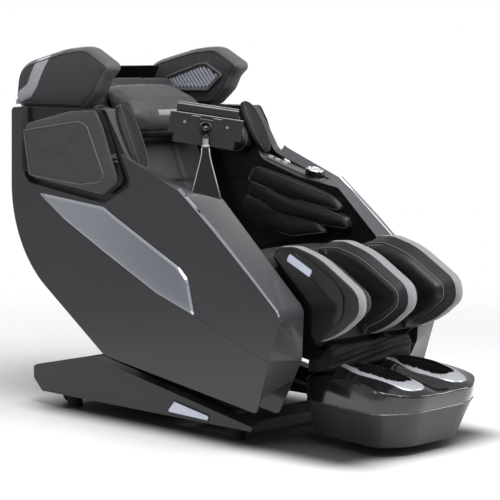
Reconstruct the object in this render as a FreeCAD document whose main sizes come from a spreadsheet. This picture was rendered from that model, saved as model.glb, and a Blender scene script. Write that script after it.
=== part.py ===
# Full-body massage chair with a reclining capsule, a folding leg rest and a foot rest.
# Millimetres. The sitter faces -Y, the floor is Z = 0 and X = 0 is the centre plane.
import FreeCAD, Part
import math
import os

Vector = FreeCAD.Vector
doc = FreeCAD.newDocument("massage_chair")

# Driving dimensions: name, value in millimetres or degrees, meaning
SIZES = [
    ("shell_half_width", 375, "centre plane to the outer face of a side shell"),
    ("shell_inner_half", 268, "centre plane to the inner face of a side shell"),
    ("shell_wall", 4, "wall of the moulded side shells"),
    ("shell_back_y", 800, "rearmost line of the side shells"),
    ("shell_front_y", -475, "tip of the nose of the side shells"),
    ("shoulder_z", 1004, "top of the side shells under the head wings"),
    ("head_top_z", 1195, "top of the head wings"),
    ("arm_front_y", -48, "front end of the arm top"),
    ("arm_front_z", 762, "height of the arm top at its front end"),
    ("shell_low_z", 103, "lowest corner of the side shells, at the front"),
    ("back_sweep_radius", 420, "bend of the back line of the shells"),
    ("seam", 0.8, "gap between neighbouring shell panels"),
    ("blade_proud", 2, "how far the silver blade stands out of the shell"),
    ("recess_depth", 25, "depth of the recess round the shoulder pad"),
    ("pad_proud", 6, "how far the shoulder pad stands out of the shell"),
    ("base_half_width", 335, "centre plane to the outer face of the base skirt"),
    ("base_front_y", -329, "front end of the base"),
    ("base_back_y", 707, "rear end of the base"),
    ("base_peak_y", 415, "highest line of the base top"),
    ("base_peak_z", 194, "height of that line"),
    ("base_gap", 47, "floor to the lower edge of the skirt"),
    ("skirt_wall", 4, "wall of the base skirt and deck"),
    ("rail_slope", 10.2, "fall of the slide rails toward the front, degrees"),
    ("rail_half_gap", 200, "centre plane to the middle of a slide rail"),
    ("rail_length", 555, "length of a slide rail"),
    ("tube", 40, "width of the base frame tubes"),
    ("tube_height", 25, "height of the base frame tubes"),
    ("foot_radius", 26, "radius of a rubber foot"),
    ("foot_height", 50, "height of a rubber foot"),
    ("wheel_radius", 30, "radius of a transport wheel"),
    ("pivot_y", 282, "tilt axis of the capsule"),
    ("pivot_z", 215, "height of the tilt axis"),
    ("pivot_radius", 12, "radius of the tilt shaft"),
    ("running_fit", 0.1, "radial clearance of a turning or sliding fit"),
    ("open_fit", 2.5, "radial play of the recline rod eye on its pin"),
    ("leg_open_fit", 6, "radial play of the leg rod eye on its pin"),
    ("soft_fit", 0.3, "gap between a padded piece and what carries it"),
    ("knee_y", -303, "hinge axis of the leg rest"),
    ("knee_z", 505, "height of the leg rest axis"),
    ("knee_radius", 14, "radius of the leg rest hinge tube"),
    ("leg_angle", 54, "fall of the leg rest below level, degrees"),
    ("leg_half_width", 250, "centre plane to the side of the leg rest"),
    ("ridge_width", 100, "width of one calf ridge"),
    ("frame_half_width", 217, "centre plane to the side plates of the seat frame"),
    ("plate", 5, "thickness of the frame plates"),
    ("cross_radius", 15, "radius of the frame cross tubes"),
    ("back_angle", 64, "rise of the back rest above level, degrees"),
    ("back_foot_y", 312, "lower end of the back rest front line"),
    ("back_foot_z", 560, "height of that end"),
    ("back_pad", 70, "thickness of the back cushion at its edge"),
    ("seat_front_y", -232, "front edge of the seat cushion"),
    ("seat_front_z", 588, "height of that edge"),
    ("seat_fall", 12, "fall of the seat toward the back, degrees"),
    ("seat_pad", 90, "thickness of the seat cushion"),
    ("cushion_half_width", 236, "centre plane to the side of seat and back cushions"),
    ("arm_slope", 15.7, "rise of the arm cap toward the back, degrees"),
    ("wing_inner_half", 256, "centre plane to the inner face of a head wing"),
    ("wing_outer_half", 330, "centre plane to the outer face of a head wing"),
    ("pillow_half_width", 165, "half the width of the head pillow"),
    ("foot_bottom_z", 30, "floor to the underside of the foot unit"),
    ("foot_rim_z", 137, "top rim of the foot tray"),
    ("foot_top_z", 228, "top of the foot housing"),
    ("foot_half_width", 225, "half the width of the foot unit at its rim"),
    ("foot_front_y", -800, "front of the foot unit"),
    ("foot_back_y", -403, "rear of the foot unit"),
    ("well_centre", 100, "centre plane to the middle of a foot well"),
    ("well_width", 108, "width of a foot well"),
    ("well_length", 215, "length of a foot well"),
    ("knob_radius", 36, "radius of the control knob"),
    ("button_radius", 9, "radius of a control button"),
    ("holder_width", 226, "width of the device holder"),
]

sheet = doc.addObject("Spreadsheet::Sheet", "Sizes")
for row, (alias, number, meaning) in enumerate(SIZES, start=1):
    sheet.set(f"A{row}", meaning)
    sheet.set(f"B{row}", str(number))
    sheet.setAlias(f"B{row}", alias)
doc.recompute()


class Values:
    """The sheet's numbers, read back by name."""

    def __getattr__(self, alias):
        return float(sheet.get(alias))


s = Values()
nodes = {}


# Drawing aids

class Line:
    """A sloping line in the side view. at() gives the point a distance along it and a distance off it."""

    def __init__(self, y, z, degrees, side=1):
        self.y, self.z = y, z
        self.cos, self.sin = math.cos(math.radians(degrees)), math.sin(math.radians(degrees))
        self.side = side

    def at(self, along, off=0.0):
        return (self.y + along * self.cos - self.side * off * self.sin,
                self.z + along * self.sin + self.side * off * self.cos)

    def height(self, y):
        return self.z + (y - self.y) * self.sin / self.cos


def crossing(first, first_off, second, second_off):
    """Where two lines meet, each moved off itself."""
    y1, z1 = first.at(0, first_off)
    y2, z2 = second.at(0, second_off)
    cross = first.cos * second.sin - first.sin * second.cos
    along = ((y2 - y1) * second.sin - (z2 - z1) * second.cos) / cross
    return (y1 + along * first.cos, z1 + along * first.sin)


def corner(point, radius):
    return (point[0], point[1], radius)


def outline(corners):
    """A closed run of straight edges and round corners: (u, v, radius) for each corner."""
    count = len(corners)
    joints = []
    for i, (u, v, radius) in enumerate(corners):
        here = Vector(u, v, 0)
        before = Vector(*corners[i - 1][:2], 0) - here
        after = Vector(*corners[(i + 1) % count][:2], 0) - here
        to_before, to_after = before.normalize(), after.normalize()
        half = to_before.getAngle(to_after) / 2
        reach = radius / math.tan(half)
        bisector = (to_before + to_after).normalize()
        centre = here + bisector * (radius / math.sin(half))
        joints.append((here + to_before * reach, centre - bisector * radius, here + to_after * reach))
    edges = []
    for i, (start, middle, end) in enumerate(joints):
        if start.distanceToPoint(end) > 1e-3:
            edges.append(Part.Arc(start, middle, end))
        following = joints[(i + 1) % count][0]
        if end.distanceToPoint(following) > 1e-3:
            edges.append(Part.LineSegment(end, following))
    return edges


def grown(corners, distance):
    """The same outline moved outward by a distance, or inward by a negative one."""
    count = len(corners)
    area = sum(corners[i - 1][0] * corners[i][1] - corners[i][0] * corners[i - 1][1] for i in range(count))
    turn = 1 if area > 0 else -1
    moved = []
    for i, (u, v, radius) in enumerate(corners):
        here = Vector(u, v, 0)
        came = (here - Vector(*corners[i - 1][:2], 0)).normalize()
        goes = (Vector(*corners[(i + 1) % count][:2], 0) - here).normalize()
        out_came = Vector(came.y, -came.x, 0) * turn
        out_goes = Vector(goes.y, -goes.x, 0) * turn
        middle = out_came + out_goes
        shift = middle * (distance / (1 + out_came.dot(out_goes)))
        convex = turn * (came.x * goes.y - came.y * goes.x) > 0
        new_radius = radius + distance if convex else radius - distance
        moved.append((u + shift.x, v + shift.y, max(new_radius, 0.5)))
    return moved


def band(points, thickness):
    """A bent strip: the open run of (u, v, radius) points with a thickness on its left side."""
    last = len(points) - 1
    other = []
    for i, (u, v, radius) in enumerate(points):
        here = Vector(u, v, 0)
        came = here - Vector(*points[max(i - 1, 0)][:2], 0)
        goes = Vector(*points[min(i + 1, last)][:2], 0) - here
        came = (came if i > 0 else goes).normalize()
        goes = (goes if i < last else came).normalize()
        left_came, left_goes = Vector(-came.y, came.x, 0), Vector(-goes.y, goes.x, 0)
        shift = (left_came + left_goes) * (thickness / (1 + left_came.dot(left_goes)))
        bend = came.x * goes.y - came.y * goes.x
        inner = radius - thickness * math.copysign(1, bend) if 0 < i < last else radius
        other.append((u + shift.x, v + shift.y, max(inner, 0.5)))
    return list(points) + other[::-1]


def bind(obj, expressions):
    for name, expression in expressions.items():
        obj.setExpression(name, str(expression))
    return obj


def sketch_in(body, plane, offset, corners_list):
    """A sketch on one of the body's own planes, moved off it, with closed outlines."""
    sketch = body.newObject("Sketcher::SketchObject", body.Name + "_sketch")
    support = next(item for item in body.Origin.OriginFeatures if item.Role == plane)
    sketch.AttachmentSupport = (support, "")
    sketch.MapMode = "FlatFace"
    bind(sketch, {"AttachmentOffset.Base.z": offset})
    for corners in corners_list:
        sketch.addGeometry(outline(corners), False)
    return sketch


def plate(name, corners, near, far, side=1, holes=()):
    """A slab with a side-view outline, from one distance off the centre plane to another."""
    body = doc.addObject("PartDesign::Body", name)
    start = f"{near}" if side > 0 else f"-({far})"
    profile = sketch_in(body, "YZ_Plane", start, [corners, *holes])
    pad = body.newObject("PartDesign::Pad", name + "_pad")
    pad.Profile = profile
    bind(pad, {"Length": f"({far}) - ({near})"})
    return body


def slab(name, corners, bottom, top, holes=()):
    """A slab with a plan outline (x, y, radius), from one height to another."""
    body = doc.addObject("PartDesign::Body", name)
    profile = sketch_in(body, "XY_Plane", bottom, [corners, *holes])
    pad = body.newObject("PartDesign::Pad", name + "_pad")
    pad.Profile = profile
    bind(pad, {"Length": f"({top}) - ({bottom})"})
    return body


def box(name, x, y, z):
    """A block between two expressions on each axis."""
    block = doc.addObject("Part::Box", name)
    return bind(block, {
        "Length": f"({x[1]}) - ({x[0]})", "Width": f"({y[1]}) - ({y[0]})", "Height": f"({z[1]}) - ({z[0]})",
        "Placement.Base.x": x[0], "Placement.Base.y": y[0], "Placement.Base.z": z[0],
    })


def rod(name, start, end, radius):
    """A round bar between two points."""
    bar = doc.addObject("Part::Cylinder", name)
    start, end = Vector(*start), Vector(*end)
    bar.Height = start.distanceToPoint(end)
    bar.Placement = FreeCAD.Placement(start, FreeCAD.Rotation(Vector(0, 0, 1), end - start))
    return bind(bar, {"Radius": radius})


def cross_bar(name, point, half_length, radius):
    """A round bar from side to side through a point (y, z) of the side view."""
    bar = doc.addObject("Part::Cylinder", name)
    bar.Placement = FreeCAD.Placement(Vector(0, *point), FreeCAD.Rotation(Vector(0, 1, 0), 90))
    return bind(bar, {"Radius": radius, "Height": f"2 * ({half_length})",
                      "Placement.Base.x": f"-({half_length})"})


def fused(name, pieces):
    joined = doc.addObject("Part::MultiFuse", name)
    joined.Shapes = pieces
    joined.Refine = False
    return joined


def cut(name, base, tool):
    result = doc.addObject("Part::Cut", name)
    result.Base = base
    result.Tool = tool
    return result


def common(name, first, second):
    result = doc.addObject("Part::MultiCommon", name)
    result.Shapes = [first, second]
    return result


def group(name, pieces):
    """Separate like solids that share a node."""
    together = doc.addObject("Part::Compound", name)
    together.Links = pieces
    return together


def node(name, obj):
    obj.Label = name
    nodes[name] = obj
    return obj


def solid(name, shape):
    feature = doc.addObject("Part::Feature", name)
    feature.Shape = shape
    return feature


def side_wire(corners, x):
    """A side-view outline as a wire in the plane at x."""
    edges = [edge.toShape() for edge in outline(corners)]
    wire = Part.Wire(Part.__sortEdges__(edges))
    turn = FreeCAD.Rotation(Vector(0, 1, 0), Vector(0, 0, 1), Vector(1, 0, 0), "ZXY")
    wire.Placement = FreeCAD.Placement(Vector(x, 0, 0), turn)
    return wire


def lobe(name, corners, near, far, side=1, draw=12):
    """A stuffed side-view form: its faces are crowned and its rim is drawn in."""
    width = far - near
    stations = [(0, 1), (0.08, 0.5), (0.24, 0.15), (0.5, 0), (0.76, 0.15), (0.92, 0.5), (1, 1)]
    wires = [side_wire(grown(corners, -draw * share), side * (near + width * at)) for at, share in stations]
    return solid(name, Part.makeLoft(wires, True, True))


def pad_wire(line, along, off, half_width, thickness, crown, rounding):
    """Cross-section of a long cushion: flat under side, round sides, crowned top."""
    def point(x, up):
        return Vector(x, *line.at(along, off + up))

    inner = half_width - rounding
    corners = [point(-inner, 0), point(inner, 0), point(inner, thickness), point(-inner, thickness)]
    edges = [
        Part.LineSegment(corners[0], corners[1]),
        Part.Arc(corners[1], point(half_width, thickness / 2), corners[2]),
        Part.Arc(corners[2], point(0, thickness + crown), corners[3]),
        Part.Arc(corners[3], point(-half_width, thickness / 2), corners[0]),
    ]
    return Part.Wire([edge.toShape() for edge in edges])


# Lines that the pieces are laid out on
rail = Line(s.base_peak_y, s.base_peak_z, s.rail_slope)
deck_end = (s.base_back_y - 16, s.base_peak_z - 59)
back = Line(s.back_foot_y, s.back_foot_z, s.back_angle)
seat = Line(s.seat_front_y, s.seat_front_z, -s.seat_fall)
leg = Line(s.knee_y, s.knee_z, 180 + s.leg_angle, side=-1)
arm = Line(s.arm_front_y + 10, s.arm_front_z - 4, s.arm_slope)
pivot = (s.pivot_y, s.pivot_z)
knee = (s.knee_y, s.knee_z)
SIDES = {"left": 1, "right": -1}


# Base: welded frame with two sloping rails, skirts, rear deck, feet and wheels
def rail_block(name, along, off, near, far, side):
    """A block laid along the sloping rail, given in the rail's own directions."""
    corners = [corner(rail.at(u, v), 0.5) for u, v in
               ((along[0], off[0]), (along[1], off[0]), (along[1], off[1]), (along[0], off[1]))]
    return plate(name, corners, near, far, side)


RAIL_TOP, RAIL_UNDER = -20, -30
FRAME_FRONT_Y, FRAME_BACK_Y = s.base_front_y + 96, s.base_back_y - 45
CROSS_TUBES = {"front": FRAME_FRONT_Y + 20, "middle": 92, "rear": 382, "tail": FRAME_BACK_Y - 95}
WHEEL_Y, WHEEL_Z = FRAME_BACK_Y - 30, s.wheel_radius + 3
TUBE_CENTRE = s.base_half_width - 65

frame_pieces = []
tube_top = "Sizes.foot_height + Sizes.tube_height"
for label, side in SIDES.items():
    middle = side * TUBE_CENTRE
    frame_pieces.append(box(f"long_tube_{label}",
                            (f"{middle} - Sizes.tube / 2", f"{middle} + Sizes.tube / 2"),
                            (FRAME_FRONT_Y, FRAME_BACK_Y), ("Sizes.foot_height", tube_top)))
    web = [(rail.at(-s.rail_length)[0], 60, 1), (rail.at(-5)[0], 60, 1),
           corner(rail.at(-5, RAIL_UNDER + 1), 1), corner(rail.at(-s.rail_length, RAIL_UNDER + 1), 0.5)]
    frame_pieces.append(plate(f"rail_web_{label}", web, "Sizes.rail_half_gap - 5", "Sizes.rail_half_gap + 5",
                              side))
    frame_pieces.append(rail_block(f"rail_bar_{label}", (-s.rail_length, -5), (RAIL_UNDER, RAIL_TOP),
                                   "Sizes.rail_half_gap - 15", "Sizes.rail_half_gap + 15", side))
    lug = [(WHEEL_Y - 20, s.foot_height + 10, 1), (WHEEL_Y - 12, WHEEL_Z - 12, 8),
           (WHEEL_Y + 12, WHEEL_Z - 12, 8), (WHEEL_Y + 14, s.foot_height + 10, 1)]
    frame_pieces.append(plate(f"wheel_lug_{label}", lug, TUBE_CENTRE - 20, TUBE_CENTRE - 14, side))
for label, y in CROSS_TUBES.items():
    frame_pieces.append(box(f"cross_tube_{label}", (-TUBE_CENTRE, TUBE_CENTRE),
                            (f"{y} - Sizes.tube / 2", f"{y} + Sizes.tube / 2"), ("Sizes.foot_height",
                                                            tube_top)))
AXLE_RADIUS = 5
axle_bore = cross_bar("axle_bore", (WHEEL_Y, WHEEL_Z), s.base_half_width,
                      f"{AXLE_RADIUS} + Sizes.running_fit")
node("base_frame", cut("base_frame_cut", fused("base_frame_weldment", frame_pieces), axle_bore))

wheel_pieces = [cross_bar("wheel_axle", (WHEEL_Y, WHEEL_Z), TUBE_CENTRE - 13, AXLE_RADIUS)]
for label, side in SIDES.items():
    tread = plate(f"wheel_{label}", [(WHEEL_Y + u * s.wheel_radius, WHEEL_Z + v * s.wheel_radius,
                                      s.wheel_radius * 0.98)
                                     for u, v in ((-1, -1), (1, -1), (1, 1), (-1, 1))],
                  TUBE_CENTRE - 48, TUBE_CENTRE - 22, side,
                  [[(WHEEL_Y + u * AXLE_RADIUS, WHEEL_Z + v * AXLE_RADIUS, AXLE_RADIUS * 0.98)
                    for u, v in ((-1, -1), (1, -1), (1, 1), (-1, 1))]])
    wheel_pieces.append(tread)
node("transport_wheels", group("wheel_set", wheel_pieces))

SKIRT_OUTER, SKIRT_INNER = "Sizes.base_half_width", "Sizes.base_half_width - Sizes.skirt_wall"
skirt_line = [
    (s.base_front_y, rail.height(s.base_front_y), 2), (s.base_front_y + 12, s.base_gap, 5),
    (s.base_back_y - 43, s.base_gap, 12), (s.base_back_y, s.base_gap + 40, 14),
    corner((s.base_back_y, deck_end[1] - 8), 6), corner(deck_end, 10), (s.base_peak_y, s.base_peak_z, 12),
]
lens_corners = [(44, 61, 3), (14, 94, 3), (-140, 68, 3), (-132, 57, 2)]
skirts, lenses = [], []
for label, side in SIDES.items():
    panel = plate(f"skirt_panel_{label}", skirt_line, SKIRT_INNER, SKIRT_OUTER, side,
                  [grown(lens_corners, 1)])
    lip = plate(f"skirt_lip_{label}", band([corner(rail.at(-10), 0.5), corner(rail.at(-735), 0.5)], 3),
                "Sizes.base_half_width - 45", SKIRT_OUTER, side)
    skirts.append(fused(f"skirt_{label}", [panel, lip]))
    lenses.append(plate(f"lens_{label}", grown(lens_corners, 0.7), SKIRT_INNER, "Sizes.base_half_width + 1",
                        side))
node("base_skirts", group("skirt_pair", skirts))
node("base_lenses", group("lens_pair", lenses))

deck_run = [(s.base_peak_y + 2, s.base_peak_z, 0.5), corner(deck_end, 10),
            corner((s.base_back_y, deck_end[1] - 8), 6),
            (s.base_back_y, s.base_gap + 40, 14), (s.base_back_y - 40, s.base_gap + 2, 0.5)]
deck_half = "Sizes.base_half_width - Sizes.skirt_wall - 0.3"
deck_strip = plate("deck_strip", band(deck_run[::-1], s.skirt_wall), f"-({deck_half})", deck_half)
INLET_X, SWITCH_X, SOCKET_Z = -190, -120, 103
inlet_window = box("inlet_window", (INLET_X - 24.3, INLET_X + 24.3), (s.base_back_y - 30, s.base_back_y + 5),
                   (SOCKET_Z - 12.3, SOCKET_Z + 12.3))
switch_window = box("switch_window", (SWITCH_X - 10.6, SWITCH_X + 10.6),
                    (s.base_back_y - 30, s.base_back_y + 5),
                    (SOCKET_Z - 12, SOCKET_Z + 12))
node("base_rear_deck", cut("rear_deck_cut", deck_strip, fused("deck_windows", [inlet_window, switch_window])))

inlet_body = box("inlet_body", (INLET_X - 24, INLET_X + 24), (s.base_back_y - 32, s.base_back_y + 1),
                 (SOCKET_Z - 12, SOCKET_Z + 12))
inlet_well = box("inlet_well", (INLET_X - 14, INLET_X + 14), (s.base_back_y - 22, s.base_back_y + 5),
                 (SOCKET_Z - 8, SOCKET_Z + 8))
pins = [box(f"inlet_pin_{i}", (INLET_X + dx - 1, INLET_X + dx + 1), (s.base_back_y - 24, s.base_back_y - 6),
            (SOCKET_Z + dz - 2.5, SOCKET_Z + dz + 2.5)) for i, (dx,
                                                            dz) in enumerate(((-8, -1.5), (0, 2), (8, -1.5)))]
node("power_inlet", fused("inlet_with_pins", [cut("inlet_shell", inlet_body, inlet_well), *pins]))

SWITCH_PIVOT = (s.base_back_y - 6, SOCKET_Z)
rocker = [(SWITCH_PIVOT[0] - 8, SOCKET_Z - 6, 3), (SWITCH_PIVOT[0] + 4, SOCKET_Z - 10, 2),
          (SWITCH_PIVOT[0] + 8, SOCKET_Z, 8), (SWITCH_PIVOT[0] + 4, SOCKET_Z + 10, 2), (SWITCH_PIVOT[0] - 8,
                                                            SOCKET_Z + 6, 3)]
node("power_switch", plate("rocker", rocker, SWITCH_X - 10, SWITCH_X + 10))

feet = []
for label, side in SIDES.items():
    for end, y in (("front", FRAME_FRONT_Y + 30), ("rear", WHEEL_Y - 63)):
        foot = doc.addObject("Part::Cone", f"foot_{end}_{label}")
        bind(foot, {"Radius1": "Sizes.foot_radius", "Radius2": "Sizes.foot_radius - 5",
                    "Height": "Sizes.foot_height",
                    "Placement.Base.x": side * TUBE_CENTRE, "Placement.Base.y": y})
        feet.append(foot)
node("rubber_feet", group("foot_set", feet))

control_case = box("control_case", (-110, 110), (CROSS_TUBES["rear"] - 10, CROSS_TUBES["tail"] - 15),
                   (tube_top, f"{tube_top} + 52"))
node("control_box", control_case)


# Slide carriage: two shoes on the rails, brackets and shaft of the tilt axis
SHOE = (-395, -10)
MOTOR_EYE = (-374.1, 5)
PIN_RADIUS = 6
MOTOR_HALF = 10
motor_eye = rail.at(*MOTOR_EYE)
carriage_pieces = []
for label, side in SIDES.items():
    for piece, off, near, far in (
        ("top", (RAIL_TOP + 0.5, RAIL_TOP + 11), -22, 22), ("inner", (-36, RAIL_TOP + 1), -22, -15.5),
        ("outer", (-36, RAIL_TOP + 1), 15.5, 22), ("inner_lip", (-36, RAIL_UNDER - 0.5), -16, -6),
        ("outer_lip", (-36, RAIL_UNDER - 0.5), 6, 16),
    ):
        carriage_pieces.append(rail_block(f"shoe_{piece}_{label}", SHOE, off, f"Sizes.rail_half_gap + {near}",
                                          f"Sizes.rail_half_gap + {far}", side))
    bracket = [corner(rail.at(-230, -14), 5), corner(rail.at(-30, -14), 5),
               (s.pivot_y + 26, s.pivot_z + 22, 24), (s.pivot_y - 26, s.pivot_z + 22, 24)]
    carriage_pieces.append(plate(f"pivot_bracket_{label}", bracket, 158, 168, side))
    ear = [corner(rail.at(MOTOR_EYE[0] - 20, -14), 2), corner(rail.at(MOTOR_EYE[0] + 20, -14), 2),
           corner(rail.at(MOTOR_EYE[0] + 13, MOTOR_EYE[1] + 13),
                  12), corner(rail.at(MOTOR_EYE[0] - 13, MOTOR_EYE[1] + 13), 12)]
    carriage_pieces.append(plate(f"motor_ear_{label}", ear, MOTOR_HALF + 1, MOTOR_HALF + 8, side))
for piece, along in (("front", (-394, -354)), ("rear", (-60, -20))):
    carriage_pieces.append(rail_block(f"carriage_beam_{piece}", along, (-19, -9),
                                      "-(Sizes.rail_half_gap - 5)",
                                      "Sizes.rail_half_gap - 5", 1))
carriage_pieces.append(cross_bar("motor_pin", motor_eye, MOTOR_HALF + 7, PIN_RADIUS))
tilt_bore = cross_bar("tilt_bore", pivot, 200, "Sizes.pivot_radius")
node("slide_carriage", cut("carriage_cut", fused("carriage_weldment", carriage_pieces), tilt_bore))
node("tilt_shaft", cross_bar("tilt_shaft_bar", pivot, 172, "Sizes.pivot_radius"))


# Recline motor: a tube that swings on the carriage and a rod that pushes the seat frame
RECLINE_REACH = 250
eye_angle = math.atan2(motor_eye[1] - pivot[1], motor_eye[0] - pivot[0]) - math.radians(55)
frame_eye = (s.pivot_y + RECLINE_REACH * math.cos(eye_angle), s.pivot_z + RECLINE_REACH * math.sin(eye_angle))


def actuator(name, foot, head, tube_length, play, mass_side=1):
    """A linear drive between two cross pins in the centre plane: the housing and the rod."""
    push = Vector(0, head[0] - foot[0], head[1] - foot[1])
    reach = push.Length
    push.normalize()
    start = Vector(0, *foot)

    def along(distance):
        return start + push * distance

    tube = rod(f"{name}_tube", along(24), along(24 + tube_length), 24)
    eye = cross_bar(f"{name}_eye", foot, MOTOR_HALF, PIN_RADIUS + 7)
    neck = rod(f"{name}_neck", along(10), along(30), 9)
    gearbox = rod(f"{name}_gearbox", along(50), along(50) + Vector(mass_side * 62, 0, 0), 21)
    bore = cross_bar(f"{name}_eye_bore", foot, 40, f"{PIN_RADIUS} + Sizes.running_fit")
    rod_bore = rod(f"{name}_rod_bore", along(52), along(reach), "9 + Sizes.running_fit")
    housing = cut(f"{name}_housing", fused(f"{name}_shell", [tube, eye, neck, gearbox]),
                  fused(f"{name}_bores", [bore, rod_bore]))
    stem = rod(f"{name}_stem", along(54), along(reach - PIN_RADIUS - play - 2), 9)
    ring = cross_bar(f"{name}_ring", head, MOTOR_HALF, PIN_RADIUS + play + 5)
    ring_bore = cross_bar(f"{name}_ring_bore", head, 40, PIN_RADIUS + play)
    plunger = cut(f"{name}_plunger", fused(f"{name}_rod_shape", [stem, ring]), ring_bore)
    return housing, plunger


housing, plunger = actuator("recline", motor_eye, frame_eye, 150, s.open_fit)
node("recline_motor", housing)
node("recline_rod", plunger)


# Capsule frame: two side plates with seat deck, cross tubes, tilt lugs and drive ears
SEAT_BED = -(s.seat_pad + s.soft_fit)
BACK_BED = -(s.back_pad + s.soft_fit)
PAN_Z = 372
LEG_MOTOR_EYE = (s.knee_y + 171.7, s.knee_z - 137.7)
LEG_ROD_EYE = leg.at(61, 10)
RAIL_OFF = -136
RAIL_DEPTH = 14
RAIL_INNER, RAIL_OUTER = 195, 214
CROSS_POINTS = {"seat_front": (-78, 388), "seat_rear": (170, 350),
                "back_low": back.at(170, -224), "back_high": back.at(500, -160)}

side_plate = [
    (s.knee_y + 24, s.knee_z + 22, 18), corner(seat.at(24, SEAT_BED), 8),
    corner(crossing(seat, SEAT_BED, back, BACK_BED), 60), corner(back.at(520, BACK_BED), 15),
    corner(back.at(530, -185), 30), corner(back.at(150, -245), 60), (330, 300, 60), (-138, 366, 60),
    (s.knee_y - 4, s.knee_z - 28, 20), (s.knee_y - 27, s.knee_z + 6, 20),
]
plate_far = "Sizes.frame_half_width + Sizes.plate"
frame_parts = []
for label, side in SIDES.items():
    frame_parts.append(plate(f"frame_side_{label}", side_plate, "Sizes.frame_half_width", plate_far, side))
    tilt_lug = [(70, PAN_Z + 4, 1), (200, PAN_Z + 4, 1), (s.pivot_y + 32, s.pivot_z - 4, 22),
                (s.pivot_y - 14, s.pivot_z - 32, 22)]
    frame_parts.append(plate(f"tilt_lug_{label}", tilt_lug, 146, 156, side))
    drive_ears = {"recline": frame_eye, "leg": LEG_MOTOR_EYE}
    for drive, (y, z) in drive_ears.items():
        ear = [(y - 20, PAN_Z + 4, 1), (y + 26, PAN_Z + 4, 1), (y + 13, z - 13, 11), (y - 13, z - 13, 11)]
        frame_parts.append(plate(f"{drive}_ear_{label}", ear, MOTOR_HALF + 2, MOTOR_HALF + 9, side))
    for place, (along, off, line) in {"low": (130, RAIL_OFF + 17, seat), "middle": (80, RAIL_OFF - 7, back),
                                      "high": (450, RAIL_OFF - 7, back)}.items():
        y, z = line.at(along, off)
        stud = [(y - 8, z - 8, 3), (y + 8, z - 8, 3), (y + 8, z + 8, 3), (y - 8, z + 8, 3)]
        frame_parts.append(plate(f"rail_stud_{place}_{label}", stud, RAIL_OUTER,
                                 "Sizes.frame_half_width + 1", side))
frame_parts.append(plate("seat_deck", [corner(seat.at(u, v), 0.5) for u, v in (
    (60, SEAT_BED - 4), (440, SEAT_BED - 4), (440, SEAT_BED), (60, SEAT_BED))],
    "-(Sizes.frame_half_width + 1)", "Sizes.frame_half_width + 1"))
pan_half = 192
slot_half = MOTOR_HALF + 2
pan = [(-pan_half, -146, 10), (pan_half, -146, 10), (pan_half, 182, 10), (-pan_half, 182, 10)]
pan_slab = slab("drive_pan", pan, PAN_Z, f"{PAN_Z} + Sizes.plate")
pan_slots = [box(f"{drive}_slot", (-slot_half, slot_half), (y - 24, y + 24), (PAN_Z - 20, PAN_Z + 20))
             for drive, (y, z) in {"recline": frame_eye, "leg": LEG_MOTOR_EYE}.items()]
frame_parts.append(cut("drive_pan_cut", pan_slab, fused("pan_slots", pan_slots)))
for place, point in CROSS_POINTS.items():
    frame_parts.append(cross_bar(f"cross_{place}", point, "Sizes.shell_inner_half", "Sizes.cross_radius"))
frame_parts.append(cross_bar("recline_pin", frame_eye, MOTOR_HALF + 8, PIN_RADIUS))
frame_parts.append(cross_bar("leg_motor_pin", LEG_MOTOR_EYE, MOTOR_HALF + 8, PIN_RADIUS))
tilt_hole = cross_bar("tilt_hole", pivot, 200, "Sizes.pivot_radius + Sizes.running_fit")
knee_hole = cross_bar("knee_hole", knee, 240, "Sizes.knee_radius + Sizes.running_fit")
node("seat_back_frame", cut("seat_back_cut", fused("seat_back_weldment", frame_parts),
                            fused("frame_holes", [tilt_hole, knee_hole])))

rail_run = [corner(seat.at(110, RAIL_OFF + 24), 0.5),
            corner(crossing(seat, RAIL_OFF + 24, back, RAIL_OFF), 140),
            corner(back.at(480, RAIL_OFF), 0.5)]
rail_pair = [plate(f"guide_rail_{label}", band(rail_run, -RAIL_DEPTH), RAIL_INNER, RAIL_OUTER, side)
             for label, side in SIDES.items()]
node("guide_rails", group("guide_rail_pair", rail_pair))

PUMP = {"x": (-172, -60), "y": (-98, 42)}
node("air_pump", box("pump_case", PUMP["x"], PUMP["y"], (PAN_Z - 82, PAN_Z)))


# Side shells: a hollow form between an inner and an outer outline, with panels, blade and shoulder recess
inner_side = [
    (s.shell_back_y - 16, s.shoulder_z, 15), (s.shell_back_y, 520, s.back_sweep_radius), (294, 203, 60),
    (-374, s.shell_low_z - 4, 20), (-467, 275, 40), (s.shell_front_y, 430, 45), (-128, 742, 40),
    (42, 768, 60), (222, 822, 60), (312, s.shoulder_z - 4, 20),
]
outer_side = [
    (s.shell_back_y - 42, s.shoulder_z - 4, 15), (s.shell_back_y - 32, 532, s.back_sweep_radius - 25), (300,
                                                            214, 55),
    (-383, s.shell_low_z + 13, 15), (-437, 284, 30), (s.shell_front_y - 6, 418, 30), (s.arm_front_y,
                                                            s.arm_front_z, 30),
    (42, 796, 60), (212, 861, 60), (312, s.shoulder_z - 4, 20),
]
BOTTOM_CORNERS = (2, 3)


def side_form(name, side, inset):
    """The form between the two outlines, drawn in by an inset and then open at the bottom."""
    wires = []
    for corners, x in ((inner_side, s.shell_inner_half + inset), (outer_side, s.shell_half_width - inset)):
        drawn = grown(corners, -inset)
        if inset:
            drawn = [(u, v - 5 * inset, r) if i in BOTTOM_CORNERS else (u, v, r) for i,
                     (u, v, r) in enumerate(drawn)]
        wires.append(side_wire(drawn, side * x))
    return solid(name, Part.makeLoft(wires, True, True))


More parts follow.
